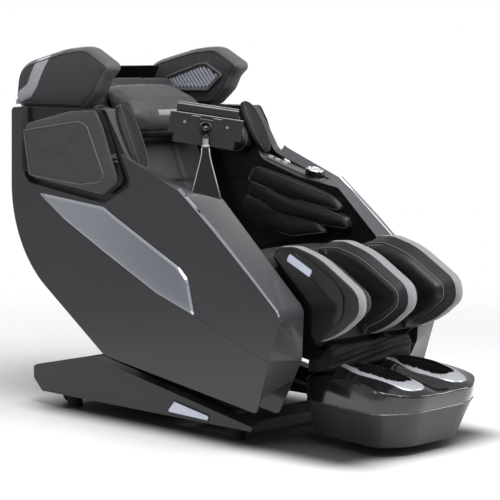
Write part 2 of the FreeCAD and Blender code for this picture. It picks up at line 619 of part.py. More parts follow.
blade_line = [(625, 722, 6), (295, 692, 40), (257, 672, 40), (-56, 525, 30), (-91, 494, 14), (-119, 383, 3),
              (53, 438, 80), (297, 549, 200), (493, 642, 60)]
panel_region = [
    (297, 701, 20), (256, 675, 20), (-57, 528, 32), (-93, 496, 14), (-119, 384, 4), (-272, 326, 300), (-426,
                                                            275, 4),
    (-620, 262, 1), (-620, 920, 1), (132, 920, 1), (220, 880, 40), (168, 778, 24), (182, 757, 20),
]
recess_line = [(707, 1040, 1), (707, 790, 60), (672, 752, 30), (297, 702, 30), (180, 757, 30), (168, 778, 24),
               (222, 882, 40), (282, 1040, 1)]
pad_line = [(682, 947, 20), (456, 993, 60), (331, 1000, 18), (298, 950, 30), (223, 776, 24), (296, 730, 30),
            (652, 770, 30)]
shells, panels, blades, shoulder_pads = {}, {}, [], []
for label, side in SIDES.items():
    form = side_form(f"side_form_{label}", side, 0)
    hollow = side_form(f"side_hollow_{label}", side, s.shell_wall)
    skin = cut(f"side_skin_{label}", form, hollow)
    cup = common(f"recess_cup_{label}", form, plate(
        f"recess_cup_block_{label}", grown(recess_line, s.shell_wall),
        "Sizes.shell_half_width - Sizes.recess_depth - Sizes.shell_wall", "Sizes.shell_half_width + 5", side))
    walls = fused(f"side_walls_{label}", [skin, cup])
    region = plate(f"panel_region_{label}", panel_region, "Sizes.shell_inner_half - 10",
                   "Sizes.shell_half_width + 10", side)
    wide_region = plate(f"panel_gap_{label}", grown(panel_region, s.seam), "Sizes.shell_inner_half - 11",
                        "Sizes.shell_half_width + 11", side)
    recess = plate(f"recess_{label}", recess_line, "Sizes.shell_half_width - Sizes.recess_depth",
                   "Sizes.shell_half_width + 6", side)
    pocket = plate(f"blade_pocket_{label}", grown(blade_line, s.seam),
                   "Sizes.shell_half_width - Sizes.shell_wall / 2",
                   "Sizes.shell_half_width + 7", side)
    tools = fused(f"shell_tools_{label}", [wide_region, recess, pocket])
    shells[label] = cut(f"shell_{label}_cut", walls, tools)
    panels[label] = common(f"panel_{label}_common", skin, region)
    blades.append(plate(f"blade_{label}", blade_line, "Sizes.shell_half_width - Sizes.shell_wall / 2",
                        "Sizes.shell_half_width + Sizes.blade_proud", side))
    shoulder_pads.append(lobe(f"shoulder_pad_{label}", pad_line,
                              s.shell_half_width - s.recess_depth + s.soft_fit,
                              s.shell_half_width + s.pad_proud, side, 6))
node("silver_blades", group("blade_pair", blades))
node("shoulder_pads", group("shoulder_pad_pair", shoulder_pads))

# Control panel on the left arm, let into the arm panel, with a knob and four buttons
PANEL_MIDDLE, PANEL_HALF = 304, 24
PANEL_LENGTH, PANEL_DEPTH = 350, 34
PANEL_FIT = 0.3
KNOB_ALONG = 52
BUTTON_ALONGS = (190, 224, 258, 292)
BUTTON_TRAVEL = 1.5


def along_arm(name, distance, radius, low, high):
    """A round piece standing on the control panel, square to its top face."""
    start = Vector(PANEL_MIDDLE, *arm.at(distance, low))
    end = Vector(PANEL_MIDDLE, *arm.at(distance, high))
    return rod(name, start, end, radius)


def arm_strip(name, along, low, high, half):
    """A block along the arm top with the control panel's width."""
    corners = [corner(arm.at(u, v), 2) for u, v in
               ((along[0], low), (along[1], low), (along[1], high), (along[0], high))]
    return plate(name, corners, PANEL_MIDDLE - half, PANEL_MIDDLE + half)


control_window = arm_strip("control_window", (-PANEL_FIT, PANEL_LENGTH + PANEL_FIT),
                           -PANEL_DEPTH - PANEL_FIT, 90,
                           PANEL_HALF + PANEL_FIT)
knob_recess = along_arm("knob_recess", KNOB_ALONG, "Sizes.knob_radius", 0, 90)
panel_opening = fused("control_opening", [control_window, knob_recess])
node("side_shell_left", cut("side_shell_left_cut", shells["left"], panel_opening))
node("side_shell_right", shells["right"])
node("upper_panel_left", cut("upper_panel_left_cut", panels["left"], panel_opening))
node("upper_panel_right", panels["right"])

knob_bore = along_arm("knob_bore", KNOB_ALONG, "8 + Sizes.running_fit", -20, 5)
button_bores = [along_arm(f"button_bore_{i}", distance, "Sizes.button_radius + 0.4", -8, 5)
                for i, distance in enumerate(BUTTON_ALONGS, start=1)]
panel_block = arm_strip("panel_block", (0, PANEL_LENGTH), -PANEL_DEPTH, 0, PANEL_HALF)
node("control_panel", cut("control_panel_cut", panel_block, fused("control_bores", [knob_bore,
                                                            *button_bores])))
knob_stem = along_arm("knob_stem", KNOB_ALONG, 8, -19, 2)
knob_grip = along_arm("knob_grip", KNOB_ALONG, "Sizes.knob_radius - 4", 1, 22)
node("control_knob", fused("knob_shape", [knob_stem, knob_grip]))
for i, distance in enumerate(BUTTON_ALONGS, start=1):
    button = along_arm(f"button_{i}", distance, "Sizes.button_radius", -8 + BUTTON_TRAVEL + 0.3, 3)
    node(f"control_button_{i}", button)


# Rear cover between the shells, head wings with speaker grilles, and the airbags
cover_half = "Sizes.shell_inner_half - Sizes.soft_fit"
cover_run = [(364, 251, 1), (794, 540, 405), (788, 1010, 60), (717, 1135, 2)]
cover_strip = plate("back_cover_strip", band(cover_run, 4), f"-({cover_half})", cover_half)
wing_slots = [box(f"wing_slot_{label}", sorted((side * (s.wing_inner_half - 0.8), side * s.shell_half_width)),
                  (600, 900), (s.shoulder_z - 1, s.head_top_z)) for label, side in SIDES.items()]
node("back_cover", cut("back_cover_cut", cover_strip, fused("wing_slots", wing_slots)))

wing_line = [(785, 1110, 20), (740, 1145, 40), (548, 1187, 60), (443, s.head_top_z, 25), (326, 1136, 18),
             (365, 1104, 30), (390, 1058, 40), (460, 1003.8, 25), (780, 1003.8, 12), (798, 1031, 12)]
grille_line = [(683, 1094, 8), (507, 1144, 12), (472, 1146, 12), (399, 1109, 10), (399, 1095, 10),
               (463, 1046, 12), (655, 1043, 10)]
GRILLE_DEPTH = 4
grilles = []
for label, side in SIDES.items():
    node(f"head_wing_{label}", lobe(f"wing_{label}", wing_line, s.wing_inner_half, s.wing_outer_half, side,
                                    9))
    grilles.append(plate(f"grille_{label}", grown(grille_line, -4),
                         f"Sizes.wing_inner_half - Sizes.soft_fit - {GRILLE_DEPTH}",
                         "Sizes.wing_inner_half - Sizes.soft_fit", side))
node("speaker_grilles", group("grille_pair", grilles))

AIRBAG_FAR = s.shell_inner_half - s.soft_fit
shoulder_bag = [(486, 998, 25), (397, 998, 30), (326, 960, 40), (312, 850, 30), (447, 845, 40)]
arm_bags = {
    "top": (250, [(246, 806, 16), (-128, 716, 20), (-168, 668, 16), (70, 714, 60), (276, 773, 10)]),
    "middle": (245, [(252, 754, 10), (70, 706, 60), (-110, 670, 40), (-184, 648, 8), (-192, 622, 6),
                     (-75, 650, 40), (130, 684, 60), (264, 726, 10)]),
    "low": (240, [(274, 706, 20), (130, 664, 60), (-62, 634, 12), (-50, 600, 12), (51, 598, 40), (237, 628,
                                                            40),
                  (292, 660, 20)]),
}
shoulder_lobes, arm_lobes = [], []
for label, side in SIDES.items():
    shoulder_lobes.append(lobe(f"shoulder_bag_{label}", shoulder_bag, 241, AIRBAG_FAR, side, 7))
    for level, (near, corners) in arm_bags.items():
        arm_lobes.append(lobe(f"arm_bag_{level}_{label}", corners, near, AIRBAG_FAR, side, 4))
node("shoulder_airbags", group("shoulder_bag_pair", shoulder_lobes))
node("arm_airbags", group("arm_bag_set", arm_lobes))


# Back cushion with its head rest, seat cushion and head pillow
def cushion(name, line, sections, half_width, crown, rounding):
    """A long cushion along a line, from sections of (along, lower face, thickness, width share)."""
    wires = [pad_wire(line, along, off, half_width * share, thickness, crown * share, rounding)
             for along, off, thickness, share in sections]
    return solid(name, Part.makeLoft(wires, True, True))


CROWN = 12
full = s.back_pad - CROWN
back_sections = [
    (-80, 6 - s.back_pad, full - 14, 0.95), (-68, -s.back_pad, full - 3, 0.99), (100, -s.back_pad, full, 1),
    (196, -s.back_pad, full, 1), (205, -s.back_pad, full - 10, 0.985), (214, -s.back_pad, full, 1),
    (351, -s.back_pad, full, 1), (360, -s.back_pad, full - 10, 0.985), (369, -s.back_pad, full, 1),
    (526, -s.back_pad, full, 1), (548, -118, full + 40, 1), (600, -128, full + 42, 0.98), (618, -116,
                                                            full + 18, 0.94),
]
node("back_cushion", cushion("back_cushion_form", back, back_sections, s.cushion_half_width, CROWN, 16))
full = s.seat_pad - CROWN
seat_sections = [
    (0, 8 - s.seat_pad, full - 20, 0.95), (14, -s.seat_pad, full - 3, 0.99), (150, -s.seat_pad, full, 1),
    (238, -s.seat_pad, full, 1), (248, -s.seat_pad, full - 9, 0.985), (258, -s.seat_pad, full, 1),
    (400, -s.seat_pad, full, 1), (500, -s.seat_pad, full - 5, 0.99), (516, 6 - s.seat_pad, full - 20, 0.95),
]
node("seat_cushion", cushion("seat_cushion_form", seat, seat_sections, s.cushion_half_width, CROWN, 26))
pillow_line = [corner(back.at(382, s.soft_fit), 8), (388, 903, 30), (359, 980, 36), (412, 1032, 50),
               (500, 1066, 70), corner(back.at(588, s.soft_fit), 10)]
node("head_pillow", lobe("pillow_form", pillow_line, -s.pillow_half_width, s.pillow_half_width, 1, 16))


# Device holder on the right arm: bracket with stand, turning tube with ball, holder plate, clamp jaw
HOLDER_X, HOLDER_Y = -300, -92
HOLDER_TURN, HOLDER_TILT, HOLDER_ROLL = -45.5, 12, 8.5
STAND_FOOT_Z, STAND_TOP_Z, BALL_Z = 735, 893, 951
FORK_HALF = 11
stand_turn = FreeCAD.Rotation(Vector(0, 0, 1), HOLDER_TURN)


def stood_at(obj, z, rotation):
    """Moves a piece drawn about the origin to the holder's axis at a height."""
    obj.Placement = FreeCAD.Placement(Vector(HOLDER_X, HOLDER_Y, z), rotation)
    return obj


stand = doc.addObject("PartDesign::Body", "holder_stand")
stand_line = [(-48, STAND_FOOT_Z, 2), (48, STAND_FOOT_Z, 2), (17, 845, 30), (11, STAND_TOP_Z, 3),
              (-11, STAND_TOP_Z, 3),
              (-17, 845, 30)]
stand_sketch = sketch_in(stand, "XZ_Plane", -11, [stand_line])
stand_pad = stand.newObject("PartDesign::Pad", "holder_stand_pad")
stand_pad.Profile = stand_sketch
bind(stand_pad, {"Length": "22"})
stood_at(stand, 0, stand_turn)
TUBE_FOOT_Z = STAND_TOP_Z - 30
holder_bore = rod("holder_bore", (HOLDER_X, HOLDER_Y, TUBE_FOOT_Z), (HOLDER_X, HOLDER_Y, STAND_TOP_Z + 5),
                  "5 + Sizes.running_fit")
arm_block = fused("arm_under_stand", [doc.getObject("side_form_right"), holder_bore])
node("holder_bracket", cut("holder_bracket_cut", stand, arm_block))

tube_pin = rod("holder_tube_pin", (0, 0, TUBE_FOOT_Z + 0.5 - BALL_Z), (0, 0, STAND_TOP_Z + 2 - BALL_Z), 5)
tube_bar = rod("holder_tube_bar", (0, 0, STAND_TOP_Z + 0.5 - BALL_Z), (0, 0, -15), "9")
tube_parts = [tube_pin, tube_bar, box("fork_base", (-FORK_HALF - 6, FORK_HALF + 6), (-9, 9), (-20, -14)),
              rod("tilt_bar", (-FORK_HALF - 7, 0, 0), (FORK_HALF + 7, 0, 0), 4)]
for label, side in SIDES.items():
    middle = side * (FORK_HALF + 3)
    tube_parts.append(box(f"tilt_fork_{label}", (middle - 3, middle + 3), (-9, 9), (-16, 9)))
node("holder_tube", stood_at(fused("holder_tube_shape", tube_parts), BALL_Z, stand_turn))

PLATE_HALF, SHEET_HALF = s.holder_width / 2, s.holder_width / 2 - 18
PLATE_Y = 16
leaf_parts = [
    box("holder_back_plate", (-PLATE_HALF, PLATE_HALF), (PLATE_Y, PLATE_Y + 8), (-31, 36)),
    box("holder_sheet", (-SHEET_HALF, SHEET_HALF), (PLATE_Y + 4, PLATE_Y + 8), (-60, -25)),
    box("holder_shelf", (-SHEET_HALF, SHEET_HALF), (PLATE_Y + 4, PLATE_Y + 30), (-60, -56)),
    box("holder_shelf_lip", (-SHEET_HALF, SHEET_HALF), (PLATE_Y + 26, PLATE_Y + 30), (-60, -46)),
    box("holder_pad_left", (FORK_HALF + 9, 48), (PLATE_Y - 6, PLATE_Y + 1), (-18, 32)),
    box("holder_pad_right", (-48, -FORK_HALF - 9), (PLATE_Y - 6, PLATE_Y + 1), (-18, 32)),
]
leaf = fused("holder_leaf", leaf_parts)
leaf_lean = FreeCAD.Rotation(Vector(1, 0, 0), HOLDER_TILT) * FreeCAD.Rotation(Vector(0, 1, 0), HOLDER_ROLL)
leaf.Placement = FreeCAD.Placement(Vector(0, 0, 0), leaf_lean)
hinge_eye = rod("holder_hinge_eye", (0.4 - FORK_HALF, 0, 0), (FORK_HALF - 0.4, 0, 0), 9)
hinge_web = box("holder_hinge_web", (-8, 8), (4, PLATE_Y + 3), (-6, 6))
hinge_bore = rod("holder_hinge_bore", (-20, 0, 0), (20, 0, 0), "4 + Sizes.running_fit")
node("holder_plate", stood_at(cut("holder_plate_cut", fused("holder_plate_shape", [leaf, hinge_eye,
                                                            hinge_web]),
                                  hinge_bore), BALL_Z, stand_turn))

jaw_face = PLATE_Y + 8 + s.soft_fit
jaw_parts = [
    box("jaw_sheet", (-SHEET_HALF, SHEET_HALF), (jaw_face, jaw_face + 2), (-2, 61)),
    box("jaw_bar", (-SHEET_HALF, SHEET_HALF), (jaw_face, jaw_face + 26), (57, 61)),
    box("jaw_lip", (-SHEET_HALF, SHEET_HALF), (jaw_face + 22, jaw_face + 26), (49, 61)),
]
node("clamp_jaw", stood_at(fused("clamp_jaw_shape", jaw_parts), BALL_Z, stand_turn * leaf_lean))


# Massage unit: a carriage that climbs the guide rails, rocking arms and two pairs of rollers
CARRIAGE_SPAN = (60, 200)
HEAD_ALONGS = {"lower": 72, "upper": 188}
HEAD_OFF, HEAD_RADIUS = -106, 22
KNEAD_PIVOT = (130, -145)
SPINDLE = 6


def back_block(name, along, off, near, far, side=1):
    """A block laid along the back rest, given in the back rest's own directions."""
    corners = [corner(back.at(u, v), 0.5) for u, v in
               ((along[0], off[0]), (along[1], off[0]), (along[1], off[1]), (along[0], off[1]))]
    return plate(name, corners, near, far, side)


massage_parts = [back_block("massage_motor_case", CARRIAGE_SPAN, (-204, -172), -160, 160)]
knead_point = back.at(*KNEAD_PIVOT)
for label, side in SIDES.items():
    rail_back, rail_front = RAIL_OFF - RAIL_DEPTH, RAIL_OFF
    for piece, off, near, far in (
        ("cheek", (-204, -128), 158, 166), ("web", (-204, -196), 158, RAIL_INNER - 1),
        ("shoe", (rail_back - 7, rail_front + 7), RAIL_INNER - 7, RAIL_INNER - 1),
        ("link", (-204, rail_back - 0.5), RAIL_INNER - 7, RAIL_INNER - 1),
        ("front_lip", (rail_front + 0.5, rail_front + 7), RAIL_INNER - 2, RAIL_OUTER - 3),
        ("rear_lip", (rail_back - 7, rail_back - 0.5), RAIL_INNER - 2, RAIL_OUTER - 3),
    ):
        massage_parts.append(back_block(f"massage_{piece}_{label}", CARRIAGE_SPAN, off, near, far, side))
massage_parts.append(cross_bar("knead_shaft", knead_point, 159, 8))
node("massage_carriage", fused("massage_carriage_shape", massage_parts))

arm_outline = [corner(back.at(HEAD_ALONGS["lower"] - 12, HEAD_OFF + 10), 10),
               corner(back.at(HEAD_ALONGS["upper"] + 12, HEAD_OFF + 10), 10),
               corner(back.at(HEAD_ALONGS["upper"] + 10, HEAD_OFF - 14), 10),
               corner(back.at(KNEAD_PIVOT[0], KNEAD_PIVOT[1] - 22), 20),
               corner(back.at(HEAD_ALONGS["lower"] - 10, HEAD_OFF - 14), 10)]
knead_plates = [plate(f"knead_arm_{label}", arm_outline, 60, 72, side) for label, side in SIDES.items()]
knead_hub = cross_bar("knead_hub", knead_point, 73, 14)
knead_bore = cross_bar("knead_bore", knead_point, 80, "8 + Sizes.running_fit")
head_bores = [cross_bar(f"head_bore_{level}", back.at(distance, HEAD_OFF), 80,
                        f"{SPINDLE} + Sizes.running_fit")
              for level, distance in HEAD_ALONGS.items()]
node("kneading_arms", cut("kneading_arms_cut", fused("kneading_arms_shape", [*knead_plates, knead_hub]),
                          fused("kneading_bores", [knead_bore, *head_bores])))
for level, distance in HEAD_ALONGS.items():
    point = back.at(distance, HEAD_OFF)
    head_parts = [cross_bar(f"head_spindle_{level}", point, 112, SPINDLE)]
    for label, side in SIDES.items():
        roller = rod(f"head_roller_{level}_{label}", (side * 78, *point), (side * 110, *point), HEAD_RADIUS)
        head_parts.append(roller)
    node(f"massage_heads_{level}", fused(f"massage_heads_{level}_shape", head_parts))


# Leg rest: drive, swinging frame with sleeves, shell, light strips and the calf ridges
housing, plunger = actuator("leg", LEG_MOTOR_EYE, LEG_ROD_EYE, 130, s.leg_open_fit)
node("leg_motor", housing)
node("leg_rod", plunger)

SHELL_FLOOR = 62
SLIDE_X, SLIDE_OFF, SLIDE_RADIUS = 120, -20, 11
SLEEVE_SPAN = (140, 262)


def leg_outline(points):
    return [(*leg.at(along, off), radius) for along, off, radius in points]


leg_parts = [cross_bar("knee_shaft", knee, plate_far + " + 4", "Sizes.knee_radius")]
floor_seat = SHELL_FLOOR - s.soft_fit
for label, side in SIDES.items():
    swing_arm = leg_outline([(-20, -16, 16), (40, -16, 10), (262, 20, 10), (262, floor_seat, 2),
                             (-30, floor_seat, 12)])
    leg_parts.append(plate(f"swing_arm_{label}", swing_arm, 200, 206, side))
    rod_ear = leg_outline([(92, floor_seat, 1), (124, floor_seat, 1), (76, -6, 14), (46, 7, 12)])
    leg_parts.append(plate(f"rod_ear_{label}", rod_ear, MOTOR_HALF + 2, MOTOR_HALF + 9, side))
    sleeve = leg_outline([(SLEEVE_SPAN[0], SLIDE_OFF - 17, 3), (SLEEVE_SPAN[1], SLIDE_OFF - 17, 3),
                          (SLEEVE_SPAN[1], SLIDE_OFF + 17, 3), (SLEEVE_SPAN[0], SLIDE_OFF + 17, 3)])
    leg_parts.append(plate(f"sleeve_{label}", sleeve, SLIDE_X - 17, SLIDE_X + 17, side))
    hanger = leg_outline([(190, SLIDE_OFF + 15, 1), (230, SLIDE_OFF + 15, 1), (230, floor_seat, 1),
                          (190, floor_seat, 1)])
    leg_parts.append(plate(f"sleeve_hanger_{label}", hanger, SLIDE_X - 4, SLIDE_X + 4, side))
for place, span in (("upper", (88, 126)), ("lower", (190, 230))):
    tie = leg_outline([(span[0], floor_seat - 8, 1), (span[1], floor_seat - 8, 1), (span[1], floor_seat, 1),
                       (span[0], floor_seat, 1)])
    leg_parts.append(plate(f"leg_tie_{place}", tie, -201, 201))
leg_parts.append(cross_bar("leg_rod_pin", LEG_ROD_EYE, MOTOR_HALF + 8, PIN_RADIUS))


def slide_rod(name, side, along, radius):
    """A round bar on the axis of one foot rest tube."""
    start, end = (Vector(side * SLIDE_X, *leg.at(distance, SLIDE_OFF)) for distance in along)
    return rod(name, start, end, radius)


sleeve_bores = [slide_rod(f"sleeve_bore_{label}", side, (SLEEVE_SPAN[0] - 5, SLEEVE_SPAN[1] + 5),
                          f"{SLIDE_RADIUS} + Sizes.running_fit") for label, side in SIDES.items()]
node("leg_frame", cut("leg_frame_cut", fused("leg_frame_shape", leg_parts), fused("sleeve_bores",
                                                            sleeve_bores)))

CHANNEL_OFF = 90
wall_line = leg_outline([(-38, SHELL_FLOOR, 10), (-38, 112, 30), (32, 172, 50), (146, 228, 40),
                         (205, 236, 40),
                         (252, 196, 40), (264, SHELL_FLOOR, 14)])
floor_line = leg_outline([(-38, SHELL_FLOOR, 1), (264, SHELL_FLOOR, 1), (264, SHELL_FLOOR + 4, 1),
                          (-38, SHELL_FLOOR + 4, 1)])
shell_parts = [plate("calf_floor", floor_line, "-(Sizes.leg_half_width - 2)", "Sizes.leg_half_width - 2")]
calf_lamps = []
for label, side in SIDES.items():
    shell_parts.append(plate(f"calf_wall_{label}", wall_line, "Sizes.leg_half_width - 4",
                             "Sizes.leg_half_width", side))
    lamp = leg_outline([(-8, 126, 5), (80, 174, 5), (90, 154, 4), (2, 104, 4)])
    calf_lamps.append(plate(f"calf_lamp_{label}", lamp, "Sizes.leg_half_width", "Sizes.leg_half_width + 2",
                            side))
node("calf_shell", fused("calf_shell_shape", shell_parts))
node("calf_lights", group("calf_light_pair", calf_lamps))

ridge_foot = SHELL_FLOOR + 4 + s.soft_fit
ridge_line = leg_outline([(-46, ridge_foot, 8), (-50, 96, 20), (-18, 148, 46), (60, 212, 110), (222, 280, 36),
                          (276, 250, 36), (283, 150, 60), (264, ridge_foot, 8)])
ridge_near = s.leg_half_width - s.ridge_width
for label, side in SIDES.items():
    outer_face = s.leg_half_width - 4 - s.soft_fit
    node(f"calf_pad_{label}", lobe(f"calf_ridge_{label}", ridge_line, ridge_near, outer_face, side, 10))
middle_ridge = lobe("calf_ridge_middle", ridge_line, -s.ridge_width / 2, s.ridge_width / 2, 1, 10)
channel_pad = plate("channel_pad", leg_outline([(-36, ridge_foot, 2), (262, ridge_foot, 2), (262,
                                                            CHANNEL_OFF, 8),
                                                (-36, CHANNEL_OFF, 8)]), -ridge_near + 0.5, ridge_near - 0.5)
node("calf_pad_middle", fused("calf_pad_middle_shape", [middle_ridge, channel_pad]))


# Foot rest: sliding tubes, tray, housing with two wells, liners, trims, sole rollers and bellows
def plan_wire(corners, z):
    """A plan outline, mirrored from its right half, as a wire at a height."""
    whole = corners + [(-x, y, radius) for x, y, radius in corners[::-1]]
    edges = [edge.toShape() for edge in outline(whole)]
    wire = Part.Wire(Part.__sortEdges__(edges))
    wire.translate(Vector(0, 0, z))
    return wire


def half_grown(corners, distance):
    whole = corners + [(-x, y, radius) for x, y, radius in corners[::-1]]
    return grown(whole, distance)[:len(corners)]


def tub(name, stations, inset=0.0):
    """A form through plan outlines at given heights, drawn in by an inset."""
    wires = [plan_wire(half_grown(corners, -inset), z) for corners, z in stations]
    return solid(name, Part.makeLoft(wires, True, True))


front = s.foot_front_y
rear = s.foot_back_y
half = s.foot_half_width
bottom_plan = [(150, rear, 25), (188, front + 108, 50), (110, front + 50, 120)]
rim_plan = [(188, rear, 30), (half + 3, front + 72, 60), (125, front + 14, 130)]
brow_plan = [(186, rear + 6, 30), (half - 1, front + 66, 60), (128, front, 130)]
top_plan = [(170, rear - 24, 30), (half - 26, front + 84, 60), (120, front + 12, 110)]
WALL = 4
tray_rim = s.foot_rim_z
tray_form = tub("tray_form", [(bottom_plan, s.foot_bottom_z), (rim_plan, tray_rim)])
tray_hollow = tub("tray_hollow", [(bottom_plan, s.foot_bottom_z + WALL), (rim_plan, tray_rim + WALL)], WALL)
ROLLER_Y, ROLLER_Z, ROLLER_RADIUS, ROLLER_SHAFT = -650, 80, 16, 5
posts = [box(f"roller_post_{label}", (side * 172 - 4, side * 172 + 4), (ROLLER_Y - 12, ROLLER_Y + 12),
             ("Sizes.foot_bottom_z + 3", ROLLER_Z + 12)) for label, side in SIDES.items()]
roller_bore = cross_bar("roller_bore", (ROLLER_Y, ROLLER_Z), 182, f"{ROLLER_SHAFT} + Sizes.running_fit")
node("foot_tray", cut("foot_tray_cut", fused("foot_tray_shape", [cut("tray_shell", tray_form, tray_hollow),
                                                            *posts]),
                      roller_bore))

roller_pieces = [cross_bar("roller_shaft", (ROLLER_Y, ROLLER_Z), 178, ROLLER_SHAFT)]
for label, side in SIDES.items():
    for near in (70, 106):
        roller_pieces.append(rod(f"sole_roller_{near}_{label}", (side * near, ROLLER_Y, ROLLER_Z),
                                 (side * (near + 24), ROLLER_Y, ROLLER_Z), ROLLER_RADIUS))
node("foot_rollers", fused("foot_rollers_shape", roller_pieces))

TOP_Z = s.foot_top_z
BROW_Z = 196
housing_form = tub("housing_form", [(rim_plan, tray_rim + 0.3), (brow_plan, BROW_Z), (top_plan, TOP_Z)])
housing_hollow = tub("housing_hollow", [(rim_plan, tray_rim - 1), (brow_plan, BROW_Z - 1), (top_plan,
                                                            TOP_Z - WALL)], WALL)
WELL_FRONT, WELL_REAR = front + 60, front + 60 + s.well_length
LINER_FLOOR = ROLLER_Z + ROLLER_SHAFT + 1
LINER_WALL = 3


def well(name, side, growth, bottom, top):
    """The plan outline of one foot well, wider at the toes, as a block."""
    toe, heel = s.well_width / 2, s.well_width / 2 - 8
    corners = [(s.well_centre - toe, WELL_FRONT, 42), (s.well_centre + toe, WELL_FRONT, 42),
               (s.well_centre + heel, WELL_REAR, 38), (s.well_centre - heel, WELL_REAR, 38)]
    placed = [(side * x, y, radius) for x, y, radius in grown(corners, growth)]
    return slab(name, placed, bottom, top)


well_holes, liners, trims = [], [], []
for label, side in SIDES.items():
    well_holes.append(well(f"well_hole_{label}", side, LINER_WALL + 0.3, TOP_Z - 40, TOP_Z + 10))
    cup = well(f"liner_cup_{label}", side, LINER_WALL, LINER_FLOOR, TOP_Z)
    cup_inside = well(f"liner_inside_{label}", side, 0, LINER_FLOOR + LINER_WALL, TOP_Z + 5)
    window = box(f"roller_window_{label}", (side * 100 - 34, side * 100 + 34),
                 (ROLLER_Y - ROLLER_RADIUS - 1, ROLLER_Y + ROLLER_RADIUS + 1), (LINER_FLOOR - 5,
                                                            LINER_FLOOR + 6))
    liners.append(cut(f"liner_{label}", cup, fused(f"liner_tools_{label}", [cup_inside, window])))
    ring = well(f"trim_outer_{label}", side, 15, TOP_Z, TOP_Z + 3)
    trims.append(cut(f"trim_{label}", ring, well(f"trim_inner_{label}", side, 6, TOP_Z - 5, TOP_Z + 8)))
tube_holes = [slide_rod(f"housing_hole_{label}", side, (280, 380), SLIDE_RADIUS + 3) for label,
              side in SIDES.items()]
node("foot_housing", cut("foot_housing_cut", cut("housing_shell", housing_form, housing_hollow),
                         fused("housing_holes", [*well_holes, *tube_holes])))
node("foot_liners", group("liner_pair", liners))
node("foot_trims", group("trim_pair", trims))

slide_parts = [slide_rod(f"foot_tube_{label}", side, (60, 370), SLIDE_RADIUS) for label,
               side in SIDES.items()]
slide_parts.append(box("slide_bracket", (-150, 150), (-514, -440), (TOP_Z - WALL - 6, TOP_Z - WALL - 0.3)))
node("foot_slides", fused("foot_slides_shape", slide_parts))

bellows_line = [(-502, TOP_Z + 0.3, 4), (-424, TOP_Z + 0.3, 4), (-424, 262, 12), (-503, 316, 16),
                (-512, 290, 16)]
bellows_block = plate("bellows_block", bellows_line, -185, 185)
bellows_holes = [slide_rod(f"bellows_hole_{label}", side, (200, 400), SLIDE_RADIUS + 1) for label,
                 side in SIDES.items()]
node("bellows", cut("bellows_cut", bellows_block, fused("bellows_holes", bellows_holes)))


# Checking and writing
doc.recompute()
for obj in doc.Objects:
    if "Invalid" in obj.State or "Error" in obj.State:
        raise SystemExit(f"{obj.Label} failed: {obj.State}")
os.makedirs("parts", exist_ok=True)
for name, obj in nodes.items():
    shape = obj.Shape
    if shape.isNull() or not shape.isValid():
        raise SystemExit(f"{name} has no valid shape")
    shape.exportStep(f"parts/{name}.step")
    print(f"{name}: {len(shape.Solids)} solids, {shape.Volume / 1000:.1f} cm3")
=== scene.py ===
"""A full-body massage chair on a pale studio floor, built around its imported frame."""
import math

import bmesh
import bpy
import numpy as np
from mathutils import Euler, Matrix, Vector, geometry
from mathutils.bvhtree import BVHTree


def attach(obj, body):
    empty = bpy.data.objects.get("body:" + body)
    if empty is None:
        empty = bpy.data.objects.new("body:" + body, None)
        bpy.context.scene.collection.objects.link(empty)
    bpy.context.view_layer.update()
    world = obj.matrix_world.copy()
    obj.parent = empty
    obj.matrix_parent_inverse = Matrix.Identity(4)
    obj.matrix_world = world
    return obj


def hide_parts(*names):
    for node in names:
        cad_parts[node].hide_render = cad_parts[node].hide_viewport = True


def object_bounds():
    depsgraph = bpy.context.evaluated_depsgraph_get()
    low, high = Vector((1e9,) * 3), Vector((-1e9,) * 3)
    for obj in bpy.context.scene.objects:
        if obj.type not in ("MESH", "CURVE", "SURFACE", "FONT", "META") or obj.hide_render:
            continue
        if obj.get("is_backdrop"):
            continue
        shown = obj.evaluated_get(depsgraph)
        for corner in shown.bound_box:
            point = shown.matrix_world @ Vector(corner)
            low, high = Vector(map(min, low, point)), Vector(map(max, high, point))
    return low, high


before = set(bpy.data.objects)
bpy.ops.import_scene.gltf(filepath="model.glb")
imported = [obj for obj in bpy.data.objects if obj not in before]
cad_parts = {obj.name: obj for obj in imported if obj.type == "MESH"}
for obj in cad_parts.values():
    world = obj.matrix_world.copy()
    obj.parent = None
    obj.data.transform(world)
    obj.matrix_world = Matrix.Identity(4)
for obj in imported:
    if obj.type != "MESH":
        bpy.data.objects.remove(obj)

cad_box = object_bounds()
SIDES = (("left", 1), ("right", -1))


# Studio: a white floor, with a painted shadow under the chair, that runs out to a white horizon, one broad
# lamp above and in front, a tall lamp on either side and a wide one behind. The lens is a long one, as for a
# catalogue.
scene = bpy.context.scene
scene.view_settings.view_transform = "Standard"


def tone(red, green, blue):
    """A screen colour, 0 to 255, as the linear colour that a shader takes."""
    linear = [((v / 255 + 0.055) / 1.055) ** 2.4 if v > 10 else v / 255 / 12.92 for v in (red, green, blue)]
    return (*linear, 1.0)


class Shade:
    """One value inside a finish, so that patterns can be written as sums."""

    def __init__(self, finish, socket):
        self.finish, self.socket = finish, socket

    def worked(self, kind, first, second=0.0):
        return self.finish.node("ShaderNodeMath", {"operation": kind}, first, second)

    def __add__(self, other):
        return self.worked("ADD", self, other)

    def __sub__(self, other):
        return self.worked("SUBTRACT", self, other)

    def __rsub__(self, other):
        return self.worked("SUBTRACT", other, self)

    def __mul__(self, other):
        return self.worked("MULTIPLY", self, other)

    def __abs__(self):
        return self.worked("ABSOLUTE", self)

    def __lt__(self, other):
        return self.worked("LESS_THAN", self, other)

    def __gt__(self, other):
        return self.worked("GREATER_THAN", self, other)


